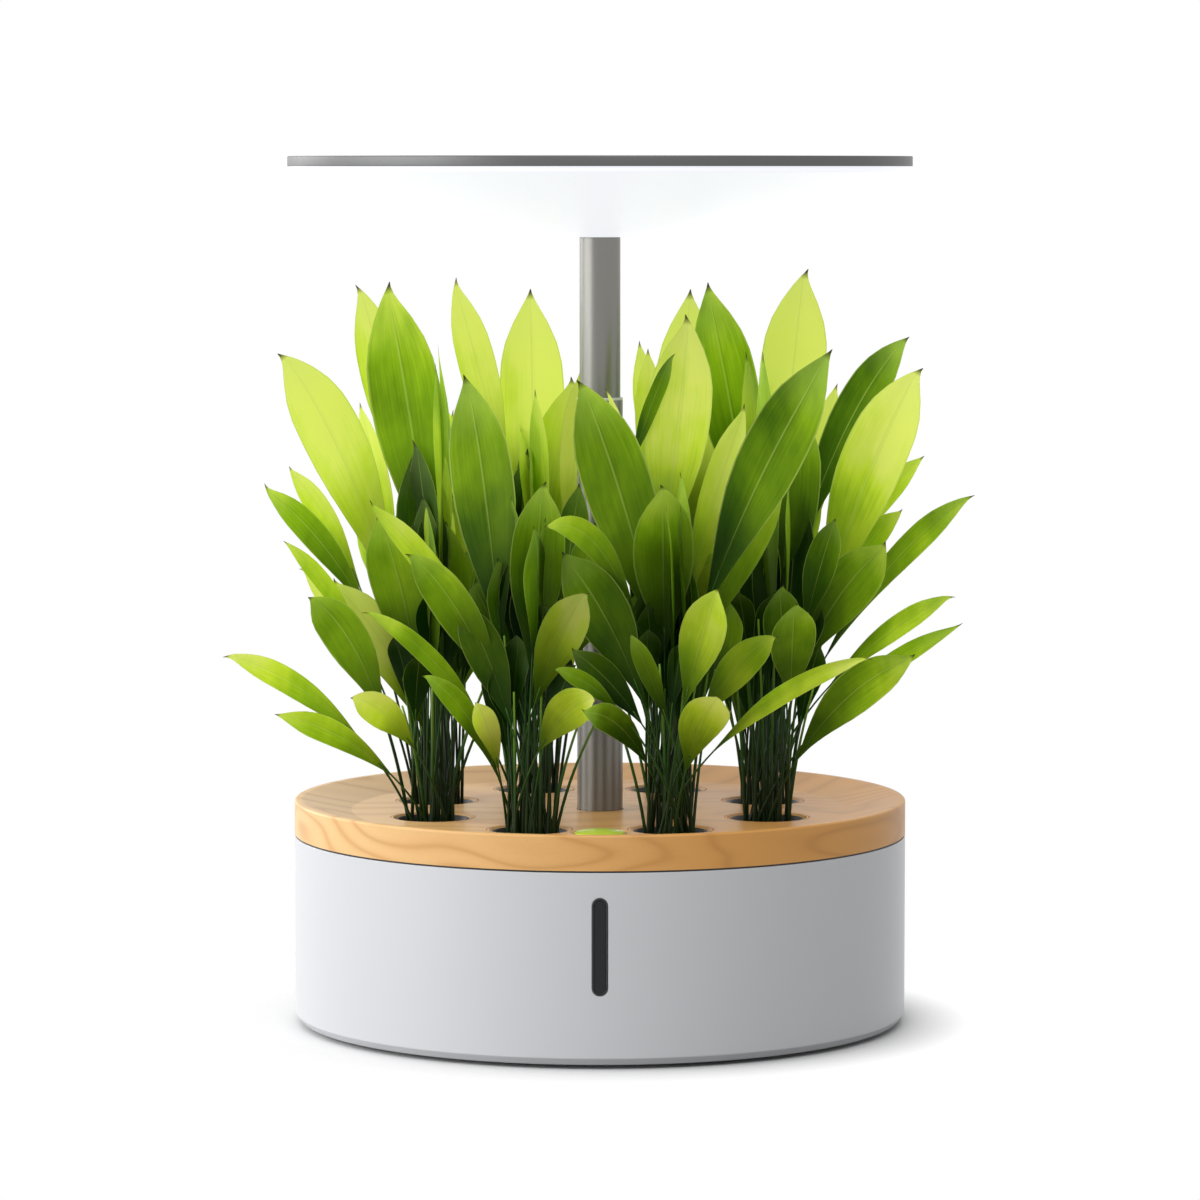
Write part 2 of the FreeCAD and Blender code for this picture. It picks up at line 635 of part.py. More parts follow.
def control_button():
    """domed push button with a skirt and a stem that reaches into the switch"""
    shoulder = BUTTON_RADIUS * BUTTON_SHOULDER
    shoulder_top = BUTTON_EDGE + BUTTON_DOME * (1 - BUTTON_SHOULDER ** 2)
    inner = BUTTON_RADIUS - BUTTON_SKIRT_WALL
    skirt_low = BUTTON_EDGE - BUTTON_SKIRT_DEPTH
    stem_low = TRAY_BOTTOM + SWITCH_HEIGHT - BUTTON_TRAVEL
    skirt = prism(BUTTON_RADIUS, skirt_low, BUTTON_RADIUS, BUTTON_EDGE, SLEEVE_SIDES)
    lower_dome = prism(BUTTON_RADIUS, BUTTON_EDGE, shoulder, shoulder_top, SLEEVE_SIDES)
    upper_dome = prism(shoulder, shoulder_top, shoulder / 2, BUTTON_EDGE + BUTTON_DOME, SLEEVE_SIDES)
    hollow = prism(inner, skirt_low, inner, BUTTON_UNDERSIDE, FINE_SIDES)
    stem = prism(BUTTON_STEM_RADIUS, stem_low, BUTTON_STEM_RADIUS, BUTTON_UNDERSIDE, COARSE_SIDES)
    return moved(fused([skirt.cut(hollow), lower_dome, upper_dome, stem]), button_place())


def button_switch():
    half = SWITCH_SIZE / 2
    body = block(-half, half, -half, half, TRAY_BOTTOM, TRAY_BOTTOM + SWITCH_HEIGHT)
    hole_radius = BUTTON_STEM_RADIUS + SWITCH_HOLE_GAP
    hole = prism(hole_radius, TRAY_BOTTOM, hole_radius, TRAY_BOTTOM + SWITCH_HEIGHT, COARSE_SIDES)
    return moved(body.cut(hole), button_place())


def control_box():
    """open-topped box hung under the deck, with posts for the circuit board"""
    half = BOX_WIDTH / 2
    outer = block(-half, half, BOX_FRONT_Y, BOX_REAR_Y, BOX_BOTTOM, DECK_BOTTOM)
    inner = block(
        -half + BOX_WALL, half - BOX_WALL, BOX_FRONT_Y + BOX_WALL, BOX_REAR_Y - BOX_WALL,
        BOX_BOTTOM + BOX_WALL, DECK_BOTTOM,
    )
    floor = BOX_BOTTOM + BOX_WALL
    post = prism(BOARD_POST_RADIUS, floor, BOARD_POST_RADIUS, floor + BOARD_POST_HEIGHT, COARSE_SIDES)
    inset = BOX_WALL + CONTROL_BOARD_GAP + BOARD_POST_RADIUS
    corners = [
        Vector(side * (half - inset), y, 0)
        for side in (-1, 1)
        for y in (BOX_FRONT_Y + inset, BOX_REAR_Y - inset)
    ]
    return fused([outer.cut(inner)] + repeated(post, corners))


def circuit_board():
    half = BOX_WIDTH / 2 - BOX_WALL - CONTROL_BOARD_GAP
    low = BOX_BOTTOM + BOX_WALL + BOARD_POST_HEIGHT
    front = BOX_FRONT_Y + BOX_WALL + CONTROL_BOARD_GAP
    rear = BOX_REAR_Y - BOX_WALL - CONTROL_BOARD_GAP
    return block(-half, half, front, rear, low, low + BOARD_THICKNESS)


def power_inlet():
    """low-voltage socket that fills the notch in the tub's rear wall"""
    half = INLET_WIDTH / 2
    body = block(-half, half, BOX_REAR_Y, TUB_RADIUS, INLET_BOTTOM, INLET_TOP)
    body = body.common(disc(INLET_REAR_Y, INLET_BOTTOM, INLET_TOP))
    middle = (INLET_BOTTOM + INLET_TOP) / 2
    bore = prism(INLET_BORE_RADIUS, 0, INLET_BORE_RADIUS, INLET_BORE_DEPTH, FINE_SIDES)
    pin = prism(INLET_PIN_RADIUS, 0, INLET_PIN_RADIUS, INLET_BORE_DEPTH - INLET_RECESS, SCREW_SIDES)
    socket = bore.cut(pin).rotated(Vector(0, 0, 0), Vector(1, 0, 0), -90)
    return body.cut(moved(socket, Vector(0, INLET_REAR_Y - INLET_BORE_DEPTH, middle)))


def pump_frame(shape):
    """turns a piece drawn about its own axis so that it faces out from the mast, and puts it there"""
    return moved(shape.rotated(Vector(0, 0, 0), Vector(0, 0, 1), PUMP_ANGLE), pump_place())


def pump_body():
    """small submersible pump, with its spout in the riser"""
    half_length = PUMP_LENGTH / 2
    half_width = PUMP_WIDTH / 2
    body = block(-half_length, half_length, -half_width, half_width, PUMP_BOTTOM, PUMP_TOP)
    upright = [edge for edge in body.Edges if abs(edge.tangentAt(edge.FirstParameter).z) > 0.5]
    body = body.makeChamfer(PUMP_CORNER, upright)
    spout_top = PUMP_TOP + PUMP_SPOUT_LENGTH
    spout = prism(RISER_BORE_RADIUS, PUMP_TOP, RISER_BORE_RADIUS, spout_top, FINE_SIDES)
    return pump_frame(fused([body, spout]))


def pump_strainer():
    """slotted intake cover on the pump's outer end"""
    half_width = PUMP_WIDTH / 2 - PUMP_CORNER
    low = PUMP_BOTTOM + STRAINER_MARGIN
    high = PUMP_TOP - STRAINER_MARGIN
    start = PUMP_LENGTH / 2
    plate = block(start, start + STRAINER_THICKNESS, -half_width, half_width, low, high)
    pitch = 2 * half_width / (STRAINER_SLOTS + 1)
    slots = []
    for k in range(STRAINER_SLOTS):
        middle = -half_width + pitch * (k + 1)
        slots.append(block(
            start, start + STRAINER_THICKNESS,
            middle - STRAINER_SLOT_WIDTH / 2, middle + STRAINER_SLOT_WIDTH / 2,
            low + STRAINER_MARGIN, high - STRAINER_MARGIN,
        ))
    return pump_frame(plate.cut(slots))


def riser_tube():
    return pump_frame(sleeve(RISER_RADIUS, RISER_BORE_RADIUS, PUMP_TOP, DECK_BOTTOM, FINE_SIDES))


def net_cup():
    """tapered basket with a lip, four side slots and a drain, drawn about its own axis"""
    bottom_radius = CUP_RADIUS - CUP_TAPER
    lip = prism(CUP_LIP_RADIUS, TRAY_BOTTOM, CUP_LIP_RADIUS, CUP_LIP_TOP, CUP_SIDES)
    outer = prism(bottom_radius, CUP_BOTTOM, CUP_RADIUS, TRAY_BOTTOM, CUP_SIDES)
    inner = prism(
        bottom_radius - CUP_WALL, CUP_BOTTOM + CUP_WALL, CUP_RADIUS - CUP_WALL, CUP_LIP_TOP, CUP_SIDES
    )
    drain = prism(CUP_DRAIN_RADIUS, CUP_BOTTOM, CUP_DRAIN_RADIUS, CUP_BOTTOM + CUP_WALL, CUP_SIDES // 2)
    half = CUP_SLOT_WIDTH / 2
    bar = block(
        -CUP_LIP_RADIUS, CUP_LIP_RADIUS, -half, half,
        CUP_BOTTOM + CUP_SLOT_MARGIN, TRAY_BOTTOM - CUP_SLOT_MARGIN,
    )
    step = 360.0 / CUP_SIDES
    turns = [step * (2 * k + 0.5) for k in range(CUP_SIDES // 4)]
    bars = [bar.rotated(Vector(0, 0, 0), Vector(0, 0, 1), turn) for turn in turns]
    return fused([lip, outer]).cut([inner, drain] + bars)


def grow_sponge():
    """tapered plug of growing foam that stands on the cup's floor"""
    low = CUP_BOTTOM + CUP_WALL
    low_radius = CUP_RADIUS - CUP_TAPER - CUP_WALL - SPONGE_GAP
    high_radius = CUP_RADIUS - CUP_WALL - SPONGE_GAP - CUP_TAPER * SPONGE_TOP_DROP / CUP_DEPTH
    return prism(low_radius, low, high_radius, SPONGE_TOP, CUP_SIDES)


def bezier(points, share):
    """point and direction on a cubic curve"""
    a, b, c, d = points
    rest = 1 - share
    place = a * rest ** 3 + b * (3 * rest ** 2 * share) + c * (3 * rest * share ** 2) + d * share ** 3
    heading = (b - a) * (rest ** 2) + (c - b) * (2 * rest * share) + (d - c) * share ** 2
    return place, heading.normalize()


def leaf_curve(root, tip, arch):
    """the midline of a leaf: up from the root, then over to the tip"""
    way = tip - root
    lift = Vector(0, 0, arch * way.Length)
    level = Vector(way.x, way.y, 0)
    first = root + Vector(0, 0, way.z * STALK_RISE[0]) + level * STALK_REACH[0] + lift * 0.6
    second = root + Vector(0, 0, way.z * STALK_RISE[1]) + level * STALK_REACH[1] + lift
    return (root, first, second, tip)


def leaf_section(centre, heading, turn, half_width):
    """three corners across a leaf: its two edges, and the midrib behind them"""
    face = Vector(math.sin(math.radians(turn)), -math.cos(math.radians(turn)), 0)
    across = heading.cross(face).normalize()
    front = across.cross(heading).normalize()
    midrib = front * (LEAF_THICKNESS + half_width * LEAF_FOLD)
    return [centre - across * half_width, centre - midrib, centre + across * half_width]


def leaf_solid(root, tip, width, blade, arch, turn):
    """flat-faced solid of one leaf: a thin stalk and a pointed blade"""
    curve = leaf_curve(root, tip, arch)
    blade_start = 1 - min(LONGEST_BLADE, blade / (tip - root).Length)
    stations = [(0.0, STEM_RADIUS), (blade_start * 0.55, STEM_RADIUS)]
    for share, spread in BLADE_SHAPE:
        stations.append((blade_start + (1 - blade_start) * share, width / 2 * spread))
    rings = [leaf_section(*bezier(curve, share), turn, half) for share, half in stations]
    faces = [rings[0]]
    for low, high in zip(rings, rings[1:]):
        for k in range(3):
            faces.append([low[k - 1], low[k], high[k]])
            faces.append([low[k - 1], high[k], high[k - 1]])
    faces += [[rings[-1][k - 1], rings[-1][k], tip] for k in range(3)]
    return flat_solid(faces)


def foliage(number, place):
    """all the leaves of one pod, their stalks spread over the sponge's top"""
    rows = LEAVES[number]
    leaves = []
    for k, (x, y, z, width, blade, arch, turn) in enumerate(rows):
        spread = polar(STEM_RING, 360.0 * k / len(rows) + 40.0)
        root = Vector(place.x + spread.x, place.y + spread.y, SPONGE_TOP)
        leaves.append(leaf_solid(root, Vector(x, y, z), width, blade, arch, turn))
    return Part.makeCompound(leaves)


def main():
    os.makedirs("parts", exist_ok=True)
    save("reservoir_tub", reservoir_tub())
    save("rubber_feet", rubber_feet())
    save("window_gasket", window_gasket())
    save("level_window", level_window())
    save("planter_deck", planter_deck())
    save("tray_rim", tray_rim())
    save("tray_floor", tray_floor())
    tray_head = DECK_BOTTOM - SCREW_HEAD_HEIGHT
    save("tray_screws", screws(tray_screw_places(), tray_head, SCREW_BITE))
    save("mast_socket", mast_socket())
    save("mast_screws", screws(mast_screw_places(), tray_head - SOCKET_FLANGE_THICKNESS, SCREW_BITE))
    save("lower_tube", lower_tube())
    save("mast_bush", mast_bush())
    save("upper_tube", upper_tube())
    save("slide_bush", slide_bush())
    save("lamp_cover", lamp_cover())
    save("diffuser", diffuser())
    save("led_board", led_board())
    save("led_chips", led_chips())
    save("lamp_hub", lamp_hub())
    lamp_head = LAMP_CEILING - HUB_FLANGE_THICKNESS - SCREW_HEAD_HEIGHT
    save("lamp_screws", screws(lamp_screw_places(), lamp_head, HUB_FLANGE_THICKNESS + LAMP_SCREW_BITE))
    save("control_button", control_button())
    save("button_switch", button_switch())
    save("control_box", control_box())
    save("circuit_board", circuit_board())
    save("power_inlet", power_inlet())
    save("pump_body", pump_body())
    save("pump_strainer", pump_strainer())
    save("riser_tube", riser_tube())
    cup = net_cup()
    sponge = grow_sponge()
    for number, place in enumerate(pod_places(), start=1):
        save("net_cup_%d" % number, moved(cup, place))
        save("grow_sponge_%d" % number, moved(sponge, place))
        save("foliage_%d" % number, foliage(number, place))


main()
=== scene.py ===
import math
import random

import bmesh
import bpy
from mathutils import Matrix, Vector, noise


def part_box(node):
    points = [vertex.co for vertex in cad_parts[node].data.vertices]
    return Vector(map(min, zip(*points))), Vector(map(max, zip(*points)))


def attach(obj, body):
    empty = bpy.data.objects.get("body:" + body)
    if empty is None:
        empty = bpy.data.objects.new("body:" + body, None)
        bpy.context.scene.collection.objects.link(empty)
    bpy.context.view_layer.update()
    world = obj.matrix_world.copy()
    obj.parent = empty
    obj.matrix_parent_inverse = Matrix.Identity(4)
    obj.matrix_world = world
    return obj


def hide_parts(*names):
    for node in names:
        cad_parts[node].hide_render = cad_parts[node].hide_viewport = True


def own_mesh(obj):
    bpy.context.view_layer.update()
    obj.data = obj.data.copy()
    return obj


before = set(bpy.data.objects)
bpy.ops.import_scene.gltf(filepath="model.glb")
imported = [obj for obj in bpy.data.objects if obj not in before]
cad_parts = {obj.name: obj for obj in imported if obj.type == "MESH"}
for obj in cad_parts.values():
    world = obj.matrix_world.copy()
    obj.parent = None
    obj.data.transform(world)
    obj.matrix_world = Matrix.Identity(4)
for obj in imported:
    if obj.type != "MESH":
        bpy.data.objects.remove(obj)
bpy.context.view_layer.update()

MM = 0.001

# The photograph's camera, in metres, with its lens and sensor in millimetres
CAMERA_PLACE = Vector((0.0, -2.373, 0.390))
CAMERA_TARGET = Vector((0.0, 0.0, 0.1935))
CAMERA_LENS = 156.0
CAMERA_SENSOR = 36.0
CAMERA_RANGE = (0.05, 50.0)

# Main sizes, read from the frame
TUB_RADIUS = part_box("reservoir_tub")[1].x
TUB_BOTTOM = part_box("reservoir_tub")[0].z
TUB_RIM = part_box("reservoir_tub")[1].z
TRAY_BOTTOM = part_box("tray_rim")[0].z
TRAY_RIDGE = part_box("tray_rim")[1].z
LAMP_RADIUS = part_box("lamp_cover")[1].x
LAMP_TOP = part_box("lamp_cover")[1].z
LAMP_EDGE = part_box("lamp_cover")[0].z
DIFFUSER_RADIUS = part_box("diffuser")[1].x
DIFFUSER_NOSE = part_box("diffuser")[0].z
MAST_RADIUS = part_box("lower_tube")[1].x
UPPER_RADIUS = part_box("upper_tube")[1].x
SPONGE_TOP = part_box("grow_sponge_1")[1].z

TRAY_DEPTH = 5.4 * MM
TRAY_FLOOR = TRAY_RIDGE - TRAY_DEPTH
POD_COUNT = 8
POD_PITCH_RADIUS = 82.0 * MM
POD_FIRST_ANGLE = -67.5
POD_HOLE_RADIUS = 17.0 * MM
BUTTON_RADIUS = 11.25 * MM
BUTTON_PLACE = Vector((0, -86.5 * MM, 0))
BUTTON_GAP = 0.75 * MM
MAST_GAP = 0.3 * MM

# How far a cutter passes the piece that it cuts
OVERCUT = 10.0 * MM

# Sides of the turned pieces, and points of their rounded corners
LATHE_STEPS = 180
LAMP_STEPS = 240
TUBE_STEPS = 96
CUTTER_STEPS = 72
PLUG_STEPS = 40
CORNER_STEPS = 6
STADIUM_STEPS = 16
SMOOTH_ANGLE = math.radians(38)
ON_AXIS = 1e-6


def pod_place(number):
    angle = math.radians(POD_FIRST_ANGLE + 360.0 / POD_COUNT * (number - 1))
    return Vector((POD_PITCH_RADIUS * math.cos(angle), POD_PITCH_RADIUS * math.sin(angle), 0))


# Material helpers

WHITE = (1, 1, 1, 1)
GLOSS_SPREAD = 0.06
DARKER = 0.97


class Nodes:
    """short hand for building the nodes of one material or of the world"""

    def __init__(self, owner, output="OutputMaterial"):
        owner.use_nodes = True
        self.owner = owner
        self.tree = owner.node_tree
        self.tree.nodes.clear()
        self.output = self.add(output)

    def add(self, kind, links=(), **values):
        node = self.tree.nodes.new("ShaderNode" + kind)
        for key, value in values.items():
            setattr(node, key, value)
        for socket, value in dict(links).items():
            self.feed(node.inputs[socket], value)
        return node

    def feed(self, socket, value):
        if isinstance(value, bpy.types.NodeSocket):
            self.tree.links.new(value, socket)
        else:
            socket.default_value = value

    def math(self, operation, first, second=0.0, clamp=False):
        node = self.add("Math", operation=operation, use_clamp=clamp)
        self.feed(node.inputs[0], first)
        self.feed(node.inputs[1], second)
        return node.outputs[0]

    def scaled(self, value, factor, shift):
        node = self.add("Math", operation="MULTIPLY_ADD")
        self.feed(node.inputs[0], value)
        node.inputs[1].default_value = factor
        node.inputs[2].default_value = shift
        return node.outputs[0]

    def mix(self, factor, first, second, blend="MIX"):
        node = self.add("Mix", data_type="RGBA", blend_type=blend)
        self.feed(node.inputs["Factor"], factor)
        self.feed(node.inputs[6], first)
        self.feed(node.inputs[7], second)
        return node.outputs[2]

    def ramp(self, value, stops):
        node = self.add("ValToRGB", {"Fac": value})
        ramp = node.color_ramp
        ramp.elements[0].position = stops[0][0]
        ramp.elements[0].color = stops[0][1]
        ramp.elements[1].position = stops[-1][0]
        ramp.elements[1].color = stops[-1][1]
        for place, color in stops[1:-1]:
            ramp.elements.new(place).color = color
        return node.outputs[0]

    def place(self, scale=(1, 1, 1), offset=(0, 0, 0)):
        coords = self.add("TexCoord").outputs["Object"]
        return self.add("Mapping", {"Vector": coords, "Scale": scale, "Location": offset}).outputs[0]

    def noise(self, vector, scale, detail=3.0, roughness=0.5, distortion=0.0):
        return self.add("TexNoise", {
            "Vector": vector, "Scale": scale, "Detail": detail,
            "Roughness": roughness, "Distortion": distortion,
        }).outputs["Fac"]

    def rise(self, value, start, end, most=1.0):
        """nothing up to the start, then straight up to the most at the end"""
        return self.add("MapRange", {
            "Value": value, "From Min": start, "From Max": end, "To Max": most,
        }).outputs[0]

    def bump(self, height, strength, distance):
        values = {"Height": height, "Strength": strength, "Distance": distance}
        return self.add("Bump", values).outputs[0]

    def mix_shader(self, factor, first, second):
        return self.add("MixShader", {0: factor, 1: first, 2: second}).outputs[0]

    def seen(self):
        """one where the eye looks, also in a mirror or through glass, and zero for the rest of the light"""
        rays = self.add("LightPath").outputs
        bent = self.math("ADD", rays["Is Glossy Ray"], rays["Is Transmission Ray"])
        return self.math("ADD", rays["Is Camera Ray"], bent, clamp=True)

    def finish(self, surface):
        self.tree.links.new(surface, self.output.inputs["Surface"])
        return self.owner

    def finish_plain(self, values):
        """finish with one principled surface of these values"""
        return self.finish(self.add("BsdfPrincipled", values).outputs[0])


def new_material(name):
    return Nodes(bpy.data.materials.new(name))


def darker(color):
    return tuple(c * DARKER for c in color[:3]) + (1,)


def moulded_plastic(name, color, roughness, grain, coat=0.0):
    """fine-textured plastic: slight colour and gloss variation and a soft moulded grain"""
    n = new_material(name)
    where = n.place()
    cloud = n.noise(where, 14.0, 2.0)
    fine = n.noise(where, 1600.0, 2.0, 0.6)
    return n.finish_plain({
        "Base Color": n.mix(cloud, darker(color), color),
        "Roughness": n.scaled(cloud, GLOSS_SPREAD, roughness - GLOSS_SPREAD / 2),
        "Normal": n.bump(fine, grain, 0.4 * MM), "Coat Weight": coat, "Coat Roughness": 0.2,
    })


def satin_metal(name, color, roughness, stretch):
    """drawn or spun metal: faint lines along the stretch and a slow change of gloss"""
    n = new_material(name)
    fine = n.noise(n.place(stretch), 160.0, 3.0, 0.55)
    cloud = n.noise(n.place(), 20.0, 2.0)
    both = n.math("ADD", n.math("MULTIPLY", fine, 0.6), n.math("MULTIPLY", cloud, 0.4))
    return n.finish_plain({
        "Base Color": n.mix(fine, darker(color), color), "Metallic": 1.0,
        "Roughness": n.scaled(both, GLOSS_SPREAD, roughness - GLOSS_SPREAD / 2),
        "Normal": n.bump(fine, 0.006, 0.1 * MM),
    })


WOOD_LIGHT = (0.94, 0.65, 0.320, 1)
WOOD_MID = (0.83, 0.41, 0.115, 1)
WOOD_DARK = (0.56, 0.24, 0.060, 1)
# Span along X over which the wood turns darker to the right: painted shade, as the light falls from the
# left
WOOD_SIDE_SHADE = (-120.0 * MM, 60.0 * MM)
FIGURE_PLACE = (0.37, 0.11, 0.43)
FIGURE_RINGS = 95.0


def wood():
    """satin golden wood with soft cathedral figure and straight fibres along X, darker to the right by
    painted shade
    """
    n = new_material("wood")
    figure = n.noise(n.place((5.0, 9.0, 20.0), FIGURE_PLACE), 1.0, 1.6, 0.4, 0.3)
    wave = n.scaled(n.math("SINE", n.math("MULTIPLY", figure, FIGURE_RINGS)), 0.5, 0.5)
    fibre = n.noise(n.place((6.0, 150.0, 150.0)), 6.0, 4.0, 0.65)
    pores = n.noise(n.place((16.0, 420.0, 420.0)), 9.0, 2.0, 0.5)
    cloud = n.noise(n.place((3.0, 8.0, 8.0)), 5.0, 2.0)
    along = n.add("SeparateXYZ", {"Vector": n.place()}).outputs["X"]
    # painted shade: darker towards the right, away from the light; the cloud added to it is the wood's own
    # tone
    side_shade = n.rise(along, *WOOD_SIDE_SHADE, 0.90)
    cloud_and_side_shade = n.math("ADD", n.math("MULTIPLY", cloud, 0.30), side_shade, clamp=True)
    tint = n.mix(cloud_and_side_shade, WOOD_LIGHT, WOOD_MID)
    for power, amount in ((1.5, 0.22), (9.0, 0.34)):
        tint = n.mix(n.math("MULTIPLY", n.math("POWER", wave, power), amount), tint, WOOD_DARK)
    tint = n.mix(n.math("MULTIPLY", fibre, 0.32), tint, WOOD_MID)
    speck = n.rise(pores, 0.62, 0.74)
    tint = n.mix(n.math("MULTIPLY", speck, 0.32), tint, WOOD_DARK)
    return n.finish_plain({
        "Base Color": tint, "Roughness": n.scaled(fibre, 0.10, 0.36), "Specular IOR Level": 0.22,
        "Normal": n.bump(fibre, 0.05, 0.3 * MM), "Coat Weight": 0.10, "Coat Roughness": 0.16,
    })


LEAF_TONES = (
    (0.0, (0.006, 0.030, 0.001, 1)),
    (0.25, (0.070, 0.160, 0.004, 1)),
    (0.45, (0.195, 0.345, 0.008, 1)),
    (0.62, (0.340, 0.560, 0.014, 1)),
    (0.82, (0.700, 0.890, 0.048, 1)),
    (1.0, (0.920, 0.990, 0.190, 1)),
)
LEAF_RIB = (0.62, 0.74, 0.20, 1)
# pale grey green of a painted sheen near the leaf tips
LEAF_SHEEN_PAINT = (0.66, 0.74, 0.36, 1)
LEAF_TIP = (0.035, 0.020, 0.008, 1)
LEAF_THROUGH = (0.55, 0.85, 0.02, 1)

# Shares of a blade's length
SHEEN_SPAN = (0.72, 0.97)
DARK_POINT = (0.955, 0.985)
# Shares of a blade's width, the first two counted from its middle to its edge
RIB_END = 0.026
RIM_START = 0.955
GROOVE_MIDDLE = 0.535
GROOVE_HALF = 0.010


def leaf_blade():
    """living leaf: colour from the leaf's own tone with painted light and shade in it (one half lighter, a
    darker foot, a sheen near the tip, a shaded groove, the shadow value), light midrib and rim, faint
    veins, dark point
    """
    n = new_material("leaf_blade")
    data = n.add("Attribute", attribute_name="leaf")
    parts = n.add("SeparateColor", {"Color": data.outputs["Color"]})
    tone, along, across = parts.outputs
    shadow = data.outputs["Alpha"]
    centred = n.math("ABSOLUTE", n.scaled(across, 2.0, -1.0))
    blotch = n.noise(n.place((1.0, 1.0, 0.45)), 42.0, 3.0, 0.55)
    veins = n.add("CombineXYZ", {
        "X": n.math("MULTIPLY", across, 30.0), "Y": n.math("MULTIPLY", along, 2.2),
        "Z": n.math("MULTIPLY", tone, 40.0),
    }).outputs[0]
    streak = n.noise(veins, 1.6, 3.0, 0.6)
    uneven = n.math("ADD", n.math("MULTIPLY", blotch, 1.5), n.math("MULTIPLY", streak, 0.5))
    # mottling from blotches and veins, which the leaf has, plus painted light: one half of the blade
    # lighter than the other
    lift = n.scaled(n.math("ADD", uneven, n.math("MULTIPLY", across, 0.28)), 0.46, -0.50)
    # painted shade: each blade darker at its foot and lighter towards its tip
    foot_shade = n.scaled(along, 0.38, -0.17)
    shade = n.math("ADD", n.math("ADD", tone, lift), foot_shade, clamp=True)
    body = n.ramp(shade, LEAF_TONES)
    # painted sheen: the blade turns paler towards its tip, where light glances off it
    body = n.mix(n.math("MULTIPLY", n.rise(along, *SHEEN_SPAN, 0.34), blotch), body, LEAF_SHEEN_PAINT)
    rib = n.math("LESS_THAN", centred, RIB_END)
    rim = n.math("GREATER_THAN", centred, RIM_START)
    line = n.math("MULTIPLY", n.math("MAXIMUM", n.math("MULTIPLY", rib, 0.7), rim), 0.48)
    body = n.mix(line, body, LEAF_RIB)
    # painted shade: a dark line in the fold beside the midrib, fainter on lighter leaves
    groove = n.math("LESS_THAN", n.math("ABSOLUTE", n.scaled(across, 1.0, -GROOVE_MIDDLE)), GROOVE_HALF)
    body = n.mix(n.math("MULTIPLY", groove, n.scaled(tone, -0.42, 0.42)), body, LEAF_TONES[1][1])
    body = n.mix(n.rise(along, *DARK_POINT, 0.92), body, LEAF_TIP)
    body = n.mix(n.scaled(shadow, -1.0, 1.0), body, LEAF_TONES[0][1])
    normal = n.bump(streak, 0.14, 0.5 * MM)
    face = n.add("BsdfPrincipled", {
        "Base Color": body, "Roughness": 0.42, "Normal": normal, "Specular IOR Level": 0.12,
    })
    through = n.mix(0.35, body, LEAF_THROUGH, "MULTIPLY")
    glow = n.add("BsdfTranslucent", {"Color": through, "Normal": normal})
    return n.finish(n.mix_shader(0.40, face.outputs[0], glow.outputs[0]))


STALK_TONES = (
    (0.0, (0.005, 0.012, 0.002, 1)),
    (0.30, (0.010, 0.032, 0.002, 1)),
    (0.55, (0.026, 0.095, 0.006, 1)),
    (1.0, (0.20, 0.36, 0.03, 1)),
)


def leaf_stalk():
    """stalks: nearly black green at the foot, greener towards the blade"""
    n = new_material("leaf_stalk")
    data = n.add("Attribute", attribute_name="leaf")
    along = n.add("SeparateColor", {"Color": data.outputs["Color"]}).outputs[1]
    mottle = n.noise(n.place(), 160.0, 2.0)
    shade = n.math("ADD", along, n.math("MULTIPLY", mottle, 0.1), clamp=True)
    tint = n.ramp(shade, STALK_TONES)
    return n.finish_plain({"Base Color": tint, "Roughness": 0.45, "Specular IOR Level": 0.2})


def glowing_diffuser():
    """opal plastic, faintly lit from inside"""
    n = new_material("diffuser_opal")
    cloud = n.noise(n.place(), 9.0, 2.0)
    tint = n.mix(cloud, (0.22, 0.222, 0.24, 1), (0.25, 0.252, 0.27, 1))
    return n.finish_plain({
        "Base Color": tint, "Roughness": 0.48,
        "Emission Color": (0.93, 0.945, 1.0, 1), "Emission Strength": 0.85,
    })


def smoked_window():
    n = new_material("smoked_window")
    cloud = n.noise(n.place((1, 1, 0.4)), 60.0, 2.0)
    tint = n.mix(cloud, (0.014, 0.0145, 0.018, 1), (0.022, 0.023, 0.028, 1))
    return n.finish_plain({"Base Color": tint, "Roughness": 0.26, "Specular IOR Level": 0.22})


def growing_foam():
    n = new_material("growing_foam")
    pores = n.noise(n.place(), 620.0, 4.0, 0.7)
    tint = n.ramp(pores, ((0.3, (0.012, 0.008, 0.005, 1)), (0.7, (0.060, 0.040, 0.024, 1))))
    return n.finish_plain({"Base Color": tint, "Roughness": 0.9, "Normal": n.bump(pores, 0.8, MM)})


def circuit_green():
    n = new_material("circuit_board")
    tracks = n.add("TexBrick", {
        "Vector": n.place(), "Scale": 160.0, "Mortar Size": 0.06,
        "Color1": (0.01, 0.10, 0.04, 1), "Color2": (0.012, 0.12, 0.05, 1), "Mortar": (0.02, 0.20, 0.08, 1),
    }).outputs["Color"]
    return n.finish_plain({"Base Color": tracks, "Roughness": 0.4})


def led_phosphor():
    n = new_material("led_phosphor")
    cloud = n.noise(n.place(), 300.0, 2.0)
    tint = n.mix(cloud, (0.86, 0.78, 0.30, 1), (0.95, 0.88, 0.45, 1))
    return n.finish_plain({"Base Color": tint, "Roughness": 0.3})


FLOOR_FADE = (141.0 * MM, 168.0 * MM)
FLOOR_GREY = (0.90, 0.90, 0.90, 1)
FLOOR_DIM = (0.36, 0.36, 0.36, 1)


